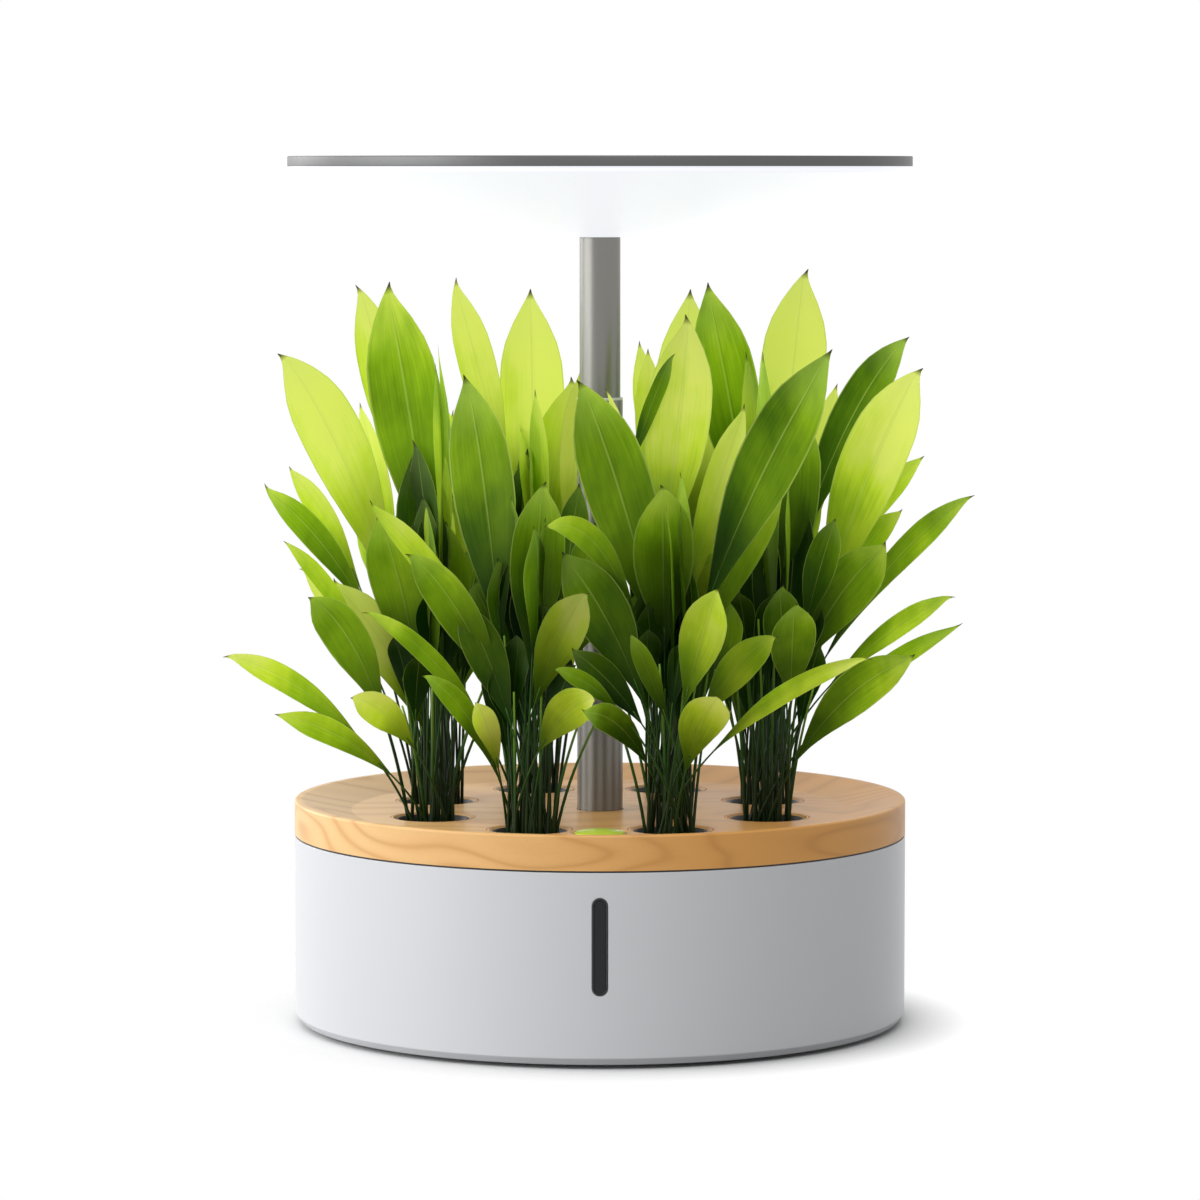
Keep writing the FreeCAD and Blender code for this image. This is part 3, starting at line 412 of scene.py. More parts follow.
def floor_material():
    """pale floor that turns to plain white away from the object, and keeps the shadow under it"""
    n = new_material("floor_white")
    coords = n.add("TexCoord").outputs["Object"]
    reach = n.add("VectorMath", {0: coords}, operation="LENGTH").outputs["Value"]
    lit = n.add("BsdfPrincipled", {"Base Color": FLOOR_GREY, "Roughness": 0.7})
    plain = n.add("Emission", {"Color": WHITE, "Strength": 1.0})
    white = n.mix_shader(n.rise(reach, *FLOOR_FADE), lit.outputs[0], plain.outputs[0])
    dim = n.add("BsdfDiffuse", {"Color": FLOOR_DIM})
    return n.finish(n.mix_shader(n.seen(), dim.outputs[0], white))


# Mesh helpers

def new_object(name, mesh, materials):
    piece = bpy.data.objects.new(name, mesh)
    bpy.context.scene.collection.objects.link(piece)
    for material in materials:
        mesh.materials.append(material)
    return piece


def rounded(corners, steps):
    """outline with its corners rounded: each corner is (r, z) or (r, z, radius)"""
    out = []
    count = len(corners)
    for k, corner in enumerate(corners):
        here = Vector(corner[:2])
        radius = corner[2] if len(corner) > 2 else 0
        if not radius:
            out.append(here)
            continue
        before = (Vector(corners[k - 1][:2]) - here).normalized()
        after = (Vector(corners[(k + 1) % count][:2]) - here).normalized()
        half = before.angle(after) / 2
        reach = radius / math.tan(half)
        start = here + before * reach
        centre = here + (before + after).normalized() * (radius / math.sin(half))
        first = start - centre
        sweep = math.pi - 2 * half
        turn = 1 if before.x * after.y - before.y * after.x < 0 else -1
        for i in range(steps + 1):
            angle = turn * sweep * i / steps
            out.append(centre + Matrix.Rotation(angle, 2) @ first)
    return out


def circle(bm, radius, height, steps):
    """ring of points about the mast's axis"""
    angles = [2 * math.pi * k / steps for k in range(steps)]
    return [bm.verts.new((radius * math.cos(angle), radius * math.sin(angle), height)) for angle in angles]


def bridge(bm, low, high):
    """band of faces between two rings of points"""
    for k in range(len(low)):
        after = (k + 1) % len(low)
        bm.faces.new([low[k], low[after], high[after], high[k]])


def lathe(name, corners, material, steps=LATHE_STEPS, corner_steps=CORNER_STEPS):
    """ring-shaped or solid piece turned about the mast's axis from an outline of (r, z) corners"""
    bm = bmesh.new()
    rows = []
    for point in rounded(corners, corner_steps):
        if point.x < ON_AXIS:
            rows.append([bm.verts.new((0, 0, point.y))])
        else:
            rows.append(circle(bm, point.x, point.y, steps))
    for low, high in zip(rows, rows[1:] + rows[:1]):
        if len(low) == 1 and len(high) == 1:
            continue
        for k in range(steps):
            after = (k + 1) % steps
            ring = [
                low[k % len(low)], low[after % len(low)],
                high[after % len(high)], high[k % len(high)],
            ]
            bm.faces.new(list(dict.fromkeys(ring)))
    return finish_mesh(name, bm, [material])


def finish_mesh(name, bm, materials, smooth=True):
    """object from a bmesh; a smooth one has its faces turned outwards and its shading softened"""
    if smooth:
        bmesh.ops.recalc_face_normals(bm, faces=bm.faces)
    mesh = bpy.data.meshes.new(name)
    bm.to_mesh(mesh)
    bm.free()
    piece = new_object(name, mesh, materials)
    if smooth:
        shade(mesh)
    return piece


def shade(mesh):
    mesh.shade_smooth()
    mesh.set_sharp_from_angle(angle=SMOOTH_ANGLE)


def cut(piece, cutters):
    """takes the cutters' shapes out of the piece, and evens its shading"""
    for cutter in cutters:
        modifier = piece.modifiers.new("cut", "BOOLEAN")
        modifier.object = cutter
        modifier.operation = "DIFFERENCE"
        modifier.solver = "EXACT"
    bpy.context.view_layer.update()
    graph = bpy.context.evaluated_depsgraph_get()
    mesh = bpy.data.meshes.new_from_object(piece.evaluated_get(graph))
    piece.modifiers.clear()
    piece.data = mesh
    shade(mesh)
    for cutter in cutters:
        bpy.data.objects.remove(cutter)
    piece.modifiers.new("even_shading", "WEIGHTED_NORMAL").keep_sharp = True


def moved(piece, place):
    piece.data.transform(Matrix.Translation(place))
    return piece


def stadium(bm, width, height, depth):
    """ring of points along an upright stadium, at a depth along Y"""
    half = width / 2
    flat = height / 2 - half
    angles = [math.pi * k / STADIUM_STEPS for k in range(STADIUM_STEPS + 1)]
    top = [(half * math.cos(angle), flat + half * math.sin(angle)) for angle in angles]
    return [bm.verts.new((x, depth, z)) for x, z in top + [(-x, -z) for x, z in top]]


def stadium_plate(name, width, height, front, back, bevel, material, hole=None):
    """upright stadium plate between two depths, its front edge bevelled, with an optional stadium hole"""
    bm = bmesh.new()
    rear = stadium(bm, width, height, back)
    side = stadium(bm, width, height, front + bevel)
    face = stadium(bm, width - 2 * bevel, height - 2 * bevel, front)
    bridge(bm, rear, side)
    bridge(bm, side, face)
    if hole:
        lip = stadium(bm, hole[0] + 2 * bevel, hole[1] + 2 * bevel, front)
        wall = stadium(bm, *hole, front + bevel)
        end = stadium(bm, *hole, back)
        bridge(bm, face, lip)
        bridge(bm, lip, wall)
        bridge(bm, wall, end)
        bridge(bm, end, rear)
    else:
        bm.faces.new(face)
        bm.faces.new(rear)
    return finish_mesh(name, bm, [material])


# The tub

WINDOW_WIDTH = 7.1 * MM
WINDOW_HEIGHT = 43.0 * MM
WINDOW_CENTRE = 54.0 * MM
GASKET_RIM = 0.9 * MM
GASKET_BEVEL = 0.25 * MM
PANE_BEVEL = 0.2 * MM
SLOT_BEVEL = 0.1 * MM
WINDOW_CHAMFER = 0.3 * MM
TUB_WALL = 2.6 * MM
TUB_FLOOR = 3.0 * MM
TUB_RIM_ROUND = 0.25 * MM
TUB_INNER_ROUND = 2.5 * MM
FOOT_CHAMFER = (2.4 * MM, 3.2 * MM)
FOOT_ROUND = 1.2 * MM
NOTCH_WIDTH = 16.0 * MM
NOTCH_SPAN = (120.0 * MM, 150.0 * MM)
NOTCH_GAP = 0.4 * MM


def make_tub(material):
    inside = TUB_RADIUS - TUB_WALL
    floor = TUB_BOTTOM + TUB_FLOOR
    tub = lathe("tub_shell", [
        (0, TUB_BOTTOM), (TUB_RADIUS - FOOT_CHAMFER[0], TUB_BOTTOM, FOOT_ROUND),
        (TUB_RADIUS, TUB_BOTTOM + FOOT_CHAMFER[1], FOOT_ROUND), (TUB_RADIUS, TUB_RIM, TUB_RIM_ROUND),
        (inside, TUB_RIM), (inside, floor, TUB_INNER_ROUND), (0, floor),
    ], material)
    front = -TUB_RADIUS - OVERCUT
    back = -TUB_RADIUS + 2 * OVERCUT
    slot = stadium_plate("slot", WINDOW_WIDTH, WINDOW_HEIGHT, front, back, SLOT_BEVEL, material)
    moved(slot, (0, 0, WINDOW_CENTRE))
    flare = flared_slot(material)
    moved(flare, (0, -TUB_RADIUS, WINDOW_CENTRE))
    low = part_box("power_inlet")[0].z - NOTCH_GAP
    notch = block("notch", NOTCH_WIDTH, NOTCH_SPAN, (low, TUB_RIM + OVERCUT), material)
    cut(tub, [slot, flare, notch])
    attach(tub, "base")
    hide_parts("reservoir_tub")


def flared_slot(material):
    """cutter that breaks the window slot's front edge"""
    bm = bmesh.new()
    wide = 4 * WINDOW_CHAMFER
    near = stadium(bm, WINDOW_WIDTH + wide, WINDOW_HEIGHT + wide, -WINDOW_CHAMFER)
    far = stadium(bm, WINDOW_WIDTH, WINDOW_HEIGHT, WINDOW_CHAMFER)
    bridge(bm, near, far)
    bm.faces.new(near)
    bm.faces.new(far)
    return finish_mesh("flare", bm, [material])


def block(name, width, depth, height, material):
    bm = bmesh.new()
    bmesh.ops.create_cube(bm, size=1)
    for vert in bm.verts:
        vert.co.x *= width
        vert.co.y = depth[0] if vert.co.y < 0 else depth[1]
        vert.co.z = height[0] if vert.co.z < 0 else height[1]
    return finish_mesh(name, bm, [material], smooth=False)


def make_window(rubber, smoked):
    front, back = [corner.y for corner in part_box("window_gasket")]
    hole = (WINDOW_WIDTH - 2 * GASKET_RIM, WINDOW_HEIGHT - 2 * GASKET_RIM)
    rim = stadium_plate("window_rim", WINDOW_WIDTH, WINDOW_HEIGHT, front, back, GASKET_BEVEL, rubber, hole)
    moved(rim, (0, 0, WINDOW_CENTRE))
    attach(rim, "base")
    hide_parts("window_gasket")
    pane_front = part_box("level_window")[0].y
    pane = stadium_plate("window_pane", *hole, pane_front, back, PANE_BEVEL, smoked)
    moved(pane, (0, 0, WINDOW_CENTRE))
    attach(pane, "base")
    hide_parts("level_window")


# The wooden tray

RIDGE_WIDTH = 3.4 * MM
RIDGE_OUTER_ROUND = 1.1 * MM
RIDGE_INNER_ROUND = 3.0 * MM
TRAY_FOOT_ROUND = 0.2 * MM
TRAY_CORNER_STEPS = 8
DISH_RADIUS = 114.0 * MM
DISH_ROUND = 7.0 * MM
POD_HOLE_CHAMFER = 1.2 * MM
BUTTON_HOLE_CHAMFER = 1.0 * MM
MAST_HOLE_CHAMFER = 0.3 * MM
HOLE_ROUND = 0.8 * MM
GROOVE_SIZE = 0.5 * MM
GROOVE_MARGIN = 1.9 * MM


def hole_cutter(radius, chamfer, place, material):
    low = TRAY_BOTTOM - OVERCUT
    high = TRAY_FLOOR + 2 * OVERCUT
    cutter = lathe("hole", [
        (0, low), (radius, low), (radius, TRAY_FLOOR - chamfer, HOLE_ROUND),
        (radius + chamfer, TRAY_FLOOR), (radius + chamfer, high), (0, high),
    ], material, CUTTER_STEPS)
    return moved(cutter, place)


def groove_cutter(radius, place, material):
    """fine turned line round a hole"""
    low = TRAY_FLOOR - GROOVE_SIZE
    high = TRAY_FLOOR + MM
    outer = radius + GROOVE_SIZE
    cutter = lathe("groove", [
        (radius, low), (outer, low), (outer, high), (radius, high),
    ], material, CUTTER_STEPS)
    return moved(cutter, place)


def make_tray(material):
    tray = lathe("tray_wood", [
        (0, TRAY_BOTTOM), (TUB_RADIUS, TRAY_BOTTOM, TRAY_FOOT_ROUND),
        (TUB_RADIUS, TRAY_RIDGE, RIDGE_OUTER_ROUND),
        (TUB_RADIUS - RIDGE_WIDTH, TRAY_RIDGE, RIDGE_INNER_ROUND),
        (DISH_RADIUS, TRAY_FLOOR, DISH_ROUND), (0, TRAY_FLOOR),
    ], material, corner_steps=TRAY_CORNER_STEPS)
    pods = [pod_place(k + 1) for k in range(POD_COUNT)]
    cutters = [hole_cutter(POD_HOLE_RADIUS, POD_HOLE_CHAMFER, place, material) for place in pods]
    cutters += [groove_cutter(POD_HOLE_RADIUS + GROOVE_MARGIN, place, material) for place in pods]
    cutters.append(hole_cutter(BUTTON_RADIUS + BUTTON_GAP, BUTTON_HOLE_CHAMFER, BUTTON_PLACE, material))
    cutters.append(hole_cutter(MAST_RADIUS + MAST_GAP, MAST_HOLE_CHAMFER, (0, 0, 0), material))
    cut(tray, cutters)
    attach(tray, "deck")
    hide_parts("tray_rim", "tray_floor")


# The mast and the lamp

LOWER_BORE = 9.9 * MM
LOWER_TOP_ROUND = 0.2 * MM
COLLAR_BORE = 9.35 * MM
COLLAR_OUTER_ROUND = 0.4 * MM
COLLAR_INNER_ROUND = 0.2 * MM
COLLAR_CORNER_STEPS = 4
UPPER_BORE = 8.6 * MM
LAMP_PLATE = 1.6 * MM
LAMP_WALL = 2.0 * MM
LAMP_TOP_ROUND = 0.5 * MM
LAMP_EDGE_ROUND = 0.3 * MM
DIFFUSER_WALL = 2.0 * MM
DIFFUSER_BAND = 2.6 * MM
DIFFUSER_RIM = 1.0 * MM
DIFFUSER_ROUND = 1.8 * MM
NOSE_RADIUS = 13.5 * MM
NOSE_ROUND = 1.5 * MM


def make_mast(steel, nylon):
    low, top = [corner.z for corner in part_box("lower_tube")]
    lower = lathe("mast_lower", [
        (LOWER_BORE, low), (MAST_RADIUS, low), (MAST_RADIUS, top, LOWER_TOP_ROUND),
        (LOWER_BORE, top, LOWER_TOP_ROUND),
    ], steel, TUBE_STEPS)
    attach(lower, "deck")
    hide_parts("lower_tube")
    collar_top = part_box("mast_bush")[1].z
    collar = lathe("mast_collar", [
        (COLLAR_BORE, top), (MAST_RADIUS, top), (MAST_RADIUS, collar_top, COLLAR_OUTER_ROUND),
        (COLLAR_BORE, collar_top, COLLAR_INNER_ROUND),
    ], nylon, TUBE_STEPS, COLLAR_CORNER_STEPS)
    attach(collar, "deck")
    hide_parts("mast_bush")
    foot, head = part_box("upper_tube")
    upper = lathe("mast_upper", [
        (UPPER_BORE, foot.z), (UPPER_RADIUS, foot.z), (UPPER_RADIUS, head.z), (UPPER_BORE, head.z),
    ], steel, TUBE_STEPS)
    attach(upper, "lamp_head")
    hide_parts("upper_tube")


def make_lamp(metal, opal):
    ceiling = LAMP_TOP - LAMP_PLATE
    inside = LAMP_RADIUS - LAMP_WALL
    cover = lathe("lamp_lid", [
        (0, LAMP_TOP), (LAMP_RADIUS, LAMP_TOP, LAMP_TOP_ROUND), (LAMP_RADIUS, LAMP_EDGE, LAMP_EDGE_ROUND),
        (inside, LAMP_EDGE), (inside, ceiling), (0, ceiling),
    ], metal, LAMP_STEPS)
    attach(cover, "lamp_head")
    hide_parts("lamp_cover")
    hole = UPPER_RADIUS + MAST_GAP
    inside = DIFFUSER_RADIUS - DIFFUSER_WALL
    shell = lathe("lamp_diffuser", [
        (hole, DIFFUSER_NOSE), (NOSE_RADIUS, DIFFUSER_NOSE, NOSE_ROUND),
        (DIFFUSER_RADIUS, LAMP_EDGE - DIFFUSER_BAND, DIFFUSER_ROUND), (DIFFUSER_RADIUS, LAMP_EDGE),
        (inside, LAMP_EDGE), (inside, LAMP_EDGE - DIFFUSER_RIM),
        (NOSE_RADIUS, DIFFUSER_NOSE + DIFFUSER_WALL), (hole, DIFFUSER_NOSE + DIFFUSER_WALL),
    ], opal, LAMP_STEPS)
    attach(shell, "lamp_head")
    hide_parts("diffuser")


# The button

DOME_STEPS = 9
BUTTON_STAND = 0.2 * MM
BUTTON_EDGE_ROUND = 0.4 * MM
BUTTON_PLATE = 1.4 * MM
BUTTON_BORE = 9.75 * MM
BUTTON_STEM_RADIUS = 2.2 * MM
BUTTON_STEM_REACH = 3.0 * MM


def make_button(material):
    low, high = [corner.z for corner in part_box("control_button")]
    edge = TRAY_FLOOR + BUTTON_STAND
    skirt = low + BUTTON_STEM_REACH
    ceiling = edge - BUTTON_PLATE
    shares = [k / DOME_STEPS for k in range(1, DOME_STEPS)]
    dome = [(BUTTON_RADIUS * share, edge + (high - edge) * (1 - share ** 2)) for share in shares]
    button = lathe("button_cap", [(0, high)] + dome + [
        (BUTTON_RADIUS, edge, BUTTON_EDGE_ROUND), (BUTTON_RADIUS, skirt), (BUTTON_BORE, skirt),
        (BUTTON_BORE, ceiling), (BUTTON_STEM_RADIUS, ceiling), (BUTTON_STEM_RADIUS, low), (0, low),
    ], material, TUBE_STEPS)
    moved(button, BUTTON_PLACE)
    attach(button, "button")
    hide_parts("control_button")


# The pods

CUP_RIBS = 16
CUP_COLUMNS = 64
CUP_WALL = 1.1 * MM
LIP_RADIUS = 16.5 * MM
LIP_DROP = 0.7 * MM
# Radius, and depth under the tray or height over the foot
CUP_TAPER = ((14.2 * MM, 0), (14.0 * MM, 6 * MM), (13.1 * MM, 18 * MM), (12.2 * MM, 30 * MM))
CUP_FOOT = ((11.3 * MM, 5 * MM), (11.0 * MM, 0), (4.0 * MM, 0))
# Bands of the basket with gaps in them, and the columns between two ribs that they leave out
GAP_BANDS = (3, 4, 5)
GAP_COLUMNS = (1, 2)
PLUG_TOP_RADIUS = 12.2 * MM
PLUG_TOP_ROUND = 1.2 * MM
PLUG_FOOT_RADIUS = 9.6 * MM
PLUG_FOOT_ROUND = 0.8 * MM
CROWN_RADIUS = 6.0 * MM
CROWN_DROP = 0.4 * MM
CRUMB_DEPTH = 0.35 * MM
CRUMBS_PER_METRE = 700.0


def make_cup(number, material):
    """tapered net basket: a lip, upright ribs with gaps between them, and a closed foot"""
    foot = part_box("net_cup_%d" % number)[0].z
    rows = [(LIP_RADIUS, TRAY_FLOOR - LIP_DROP), (LIP_RADIUS, TRAY_BOTTOM)]
    rows += [(radius, TRAY_BOTTOM - depth) for radius, depth in CUP_TAPER]
    rows += [(radius, foot + height) for radius, height in CUP_FOOT]
    bm = bmesh.new()
    rings = [circle(bm, radius, height, CUP_COLUMNS) for radius, height in rows]
    span = CUP_COLUMNS // CUP_RIBS
    for band, (above, below) in enumerate(zip(rings, rings[1:])):
        for k in range(CUP_COLUMNS):
            if band in GAP_BANDS and k % span in GAP_COLUMNS:
                continue
            after = (k + 1) % CUP_COLUMNS
            bm.faces.new([above[k], above[after], below[after], below[k]])
    cup = finish_mesh("pod_basket_%d" % number, bm, [material])
    moved(cup, pod_place(number))
    wall = cup.modifiers.new("wall", "SOLIDIFY")
    wall.thickness = CUP_WALL
    wall.offset = -1
    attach(cup, "pod_%d" % number)
    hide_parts("net_cup_%d" % number)


def make_sponge(number, material):
    """growing plug with a rough crown"""
    low, high = [corner.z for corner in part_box("grow_sponge_%d" % number)]
    sponge = lathe("pod_plug_%d" % number, [
        (0, high), (CROWN_RADIUS, high), (PLUG_TOP_RADIUS, high - CROWN_DROP, PLUG_TOP_ROUND),
        (PLUG_FOOT_RADIUS, low, PLUG_FOOT_ROUND), (0, low),
    ], material, PLUG_STEPS)
    moved(sponge, pod_place(number))
    for vert in sponge.data.vertices:
        push = noise.noise(vert.co * CRUMBS_PER_METRE) * CRUMB_DEPTH
        vert.co.z -= abs(push)
    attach(sponge, "pod_%d" % number)
    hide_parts("grow_sponge_%d" % number)


# The plants. Tip x, y, z in millimetres; blade width and length; arch; turn; tone from dark to lime, partly
# the leaf's own colour and partly painted light, the rear leaves lighter as if lit from behind.
# The extra leaves are small ones between the others, which the frame's foliage leaves out.

LEAVES = {
    1: (
        (-9, -54, 297, 31, 122, 0.05, 8, 0.42), (-24, -112, 234, 12, 66, 0.34, -10, 0.58),
        (-8, -130, 155, 13, 42, 0.20, 0, 0.34), (28, -90, 252, 28, 76, 0.05, 12, 0.50),
        (82, -74, 255, 20, 86, 0.08, 20, 0.52), (65, -67, 286, 15, 95, 0.05, 10, 0.80),
        (101, -104, 312, 28, 128, 0.04, -10, 0.30), (40.4, -24, 324.6, 30, 112, 0.02, -8, 0.80),
        (118, -120, 179, 9, 84, 0.10, 20, 0.72), (77, -104, 187, 18, 52, 0.12, 30, 0.58),
        (51, -124, 209, 20, 54, 0.05, -10, 0.68), (52, -132, 162, 21, 38, 0.15, 10, 0.80),
        (-17, -90, 222, 25, 76, 0.08, -5, 0.28), (-20, -122, 174, 8, 36, 0.15, 0, 0.46),
    ),
    2: (
        (145, -16, 301, 31, 124, 0.10, -25, 0.78), (89, -42, 287, 29, 104, 0.02, 15, 0.32),
        (169, -26, 244, 13, 100, 0.10, 25, 0.46), (129, -52, 223, 26, 70, 0.10, 20, 0.46),
        (159, -46, 200, 10, 70, 0.10, 0, 0.56), (162, -64, 188, 9, 88, 0.08, 0, 0.50),
        (140, -80, 175, 20, 72, 0.12, 10, 0.46), (105, -60, 235, 15, 52, 0.08, -15, 0.28),
        (86, -96, 200, 21, 46, 0.05, 10, 0.36), (80, -72, 206, 18, 46, 0.05, 10, 0.32),
    ),
    3: (
        (49, 24, 338, 29, 122, 0.02, 10, 0.42), (95, 52, 344, 31, 122, 0.03, -12, 0.98),
        (143, 38, 313, 20, 116, 0.15, -15, 0.26), (151, 44, 257, 13, 75, 0.12, 0, 0.60),
        (85, 14, 292, 12, 90, 0.02, 20, 0.72), (111, 66, 290, 15, 90, 0.05, 0, 0.88),
        (140, 20, 233, 12, 65, 0.20, 15, 0.60),
    ),
    4: (
        (42, 68, 334, 32, 126, 0.02, 10, 0.92), (22, 46, 307, 16, 85, 0.02, -15, 0.92),
        (68, 92, 275, 18, 85, 0.05, 20, 0.85), (84, 112, 236, 24, 85, 0.15, 30, 0.60),
        (26, 122, 262, 24, 92, 0.10, -10, 0.65), (48, 128, 190, 20, 60, 0.25, 10, 0.55),
    ),
    5: (
        (-69, 72, 339, 18, 105, 0.03, 10, 0.90), (-33, 76, 334, 31, 128, 0.02, -8, 0.92),
        (-12, 62, 293, 26, 95, 0.02, 10, 0.88), (-78, 94, 284, 13, 105, 0.08, 15, 0.88),
        (-62, 120, 226, 24, 85, 0.15, -30, 0.60), (-20, 124, 240, 24, 92, 0.10, 10, 0.65),
        (-40, 130, 180, 20, 60, 0.25, -10, 0.55),
    ),
    6: (
        (-112, 46, 337, 22, 112, 0.04, 12, 0.84), (-148, 34, 306, 29, 130, 0.12, 15, 0.90),
        (-113, 64, 281, 12, 95, 0.08, -10, 0.80), (-144, 22, 253, 11, 66, 0.12, 10, 0.80),
        (-155, 8, 245, 13, 78, 0.12, 0, 0.46), (-118, 84, 230, 24, 88, 0.15, -20, 0.60),
    ),
    7: (
        (-97, -18, 339, 33, 134, 0.02, -8, 0.54), (-99, -62, 237, 26, 84, 0.05, -12, 0.52),
        (-143, -30, 223, 8, 66, 0.12, -10, 0.60), (-136, -12, 210, 10, 60, 0.12, 10, 0.85),
        (-130, -58, 200, 22, 66, 0.15, -20, 0.46), (-170, -34, 172, 12, 74, 0.12, -10, 0.66),
        (-145, -68, 148, 12, 60, 0.12, -10, 0.60), (-110, -88, 158, 15, 38, 0.15, 0, 0.86),
        (-122, -24, 204, 20, 84, 0.10, 10, 0.88),
    ),
    8: (
        (-103, -76, 243, 12, 92, 0.10, -15, 0.66), (-84, -100, 223, 21, 78, 0.10, -25, 0.44),
        (-103, -118, 199, 9, 84, 0.12, -10, 0.56), (-77, -128, 172, 10, 62, 0.12, 0, 0.40),
        (-54, -132, 160, 11, 36, 0.10, 0, 0.88), (-6, -104, 206, 20, 58, 0.10, 10, 0.68),
        (-2, -122, 161, 18, 38, 0.20, 0, 0.82), (-60, -52, 299, 29, 120, 0.03, -10, 0.36),
        (-25, -84, 253, 25, 84, 0.03, 10, 0.42), (-62, -84, 200, 18, 60, 0.06, -10, 0.22),
    ),
}
EXTRA_LEAVES = {
    1: (
        (3, -30, 292, 7, 88, 0.05, 0, 0.84), (13, -110, 188, 9, 44, 0.05, 0, 0.44),
        (-13, -100, 180, 14, 46, 0.10, 0, 0.06),
    ),
    2: (),
    3: (),
    4: ((18, 60, 310, 14, 84, 0.02, 10, 0.88),),
    5: ((-8, 20, 300, 14, 90, 0.02, 0, 0.92),),
    6: (),
    7: (),
    8: (
        (-9, -34, 249, 15, 62, 0.05, 10, 0.20), (-2, -60, 233, 16, 50, 0.05, 10, 0.30),
        (33, -34, 308, 8, 52, 0.05, 20, 0.26),
    ),
}

PLANT_SEED = 100
FILLERS_PER_POD = 10
LOW_LEAVES_PER_POD = 8
SIDE_LEAVES_PER_POD = 4
SIDE_LEAF_PITCH = 15
SMALL_ARCH = 0.05
LOW_ARCH = 0.15
LOW_FLATNESS = 0.7
FILLER_SETBACK = 4
BARE_STALKS = 8
BARE_STALK_ARCH = 0.03
BARE_STALK_TONE = 0.3
STEM_RING = 10.5 * MM
STEM_RING_SHARES = (0.95, 0.45)
LEAF_FIRST_ANGLE = 40.0
FILLER_FIRST_ANGLE = 15.0
FRONT_LIMIT = -50 * MM

# In millimetres: where blades begin, and the plants' reach from the mast to the front and to the back
BLADES_FROM = 152
PLANT_REACH = 142

SHADE_TOP = 265 * MM
SHADE_HEIGHT = 90 * MM
SHADE_REACH = 46 * MM
SHADE_DEPTH = 0.95
STALK_REACH = (0.12, 0.55)
STALK_RISE = (0.36, 0.70)
STALK_LIFT = 0.6
STALK_OVERLAP = 0.14
STALK_RADII = (0.78 * MM, 0.30 * MM)
BARE_STALK_RADII = (0.80 * MM, 0.45 * MM)
STALK_BACK = 0.8
STALK_ROWS = 14
STALK_SIDES = 6
LONGEST_BLADE = 0.85
CURVE_STEPS = 80
BLADE_ROWS = 24
BLADE_COLUMNS = 8
BLADE_OUTLINE = (
    (0.0, 0.03), (0.10, 0.20), (0.20, 0.43), (0.30, 0.67), (0.40, 0.87), (0.50, 0.98), (0.60, 1.0),
    (0.70, 0.95), (0.78, 0.81), (0.86, 0.55), (0.92, 0.30), (0.96, 0.13), (0.985, 0.04), (1.0, 0.012),
)
ROW_EASE = 1.25
BLADE_TWIST = 16
BLADE_FOLD = 0.16
FOLD_POWER = 1.4
EDGE_START = 0.6
EDGE_CURL = -0.12
WAVE_TURNS = 8
WAVE_LAG = 1.3
TIP_START = 0.92
TIP_HOOK = 2.0 * MM
FOOT_LIGHT = 0.30
LIGHT_GAIN = 1.5


def bezier(points, share):
    """point and direction on a cubic curve"""
    a, b, c, d = points
    rest = 1 - share
    place = a * rest ** 3 + b * (3 * rest ** 2 * share) + c * (3 * rest * share ** 2) + d * share ** 3
    heading = (b - a) * rest ** 2 + (c - b) * (2 * rest * share) + (d - c) * share ** 2
    return place, heading.normalized()


def leaf_curve(root, tip, arch):
    way = tip - root
    lift = Vector((0, 0, arch * way.length))
    level = Vector((way.x, way.y, 0))
    first = root + Vector((0, 0, way.z * STALK_RISE[0])) + level * STALK_REACH[0] + lift * STALK_LIFT
    second = root + Vector((0, 0, way.z * STALK_RISE[1])) + level * STALK_REACH[1] + lift
    return (root, first, second, tip)


def blade_root(curve, seen):
    """share of a curve where the blade begins, for its length as seen from the front"""
    last = curve[3]
    reach = 0.0
    for k in range(1, CURVE_STEPS):
        share = 1 - k / CURVE_STEPS
        point = bezier(curve, share)[0]
        reach += math.hypot(point.x - last.x, point.z - last.z)
        if reach >= seen or share <= 1 - LONGEST_BLADE:
            return share
        last = point
    return 1 - LONGEST_BLADE


def blade_width(share):
    """share of the full width along a blade, straight between the outline's points"""
    for (low, low_width), (high, high_width) in zip(BLADE_OUTLINE, BLADE_OUTLINE[1:]):
        if share <= high:
            return low_width + (high_width - low_width) * (share - low) / (high - low)
    return BLADE_OUTLINE[-1][1]


def leaf_axes(heading, turn):
    face = Vector((math.sin(math.radians(turn)), -math.cos(math.radians(turn)), 0))
    across = heading.cross(face).normalized()
    return across, across.cross(heading).normalized()


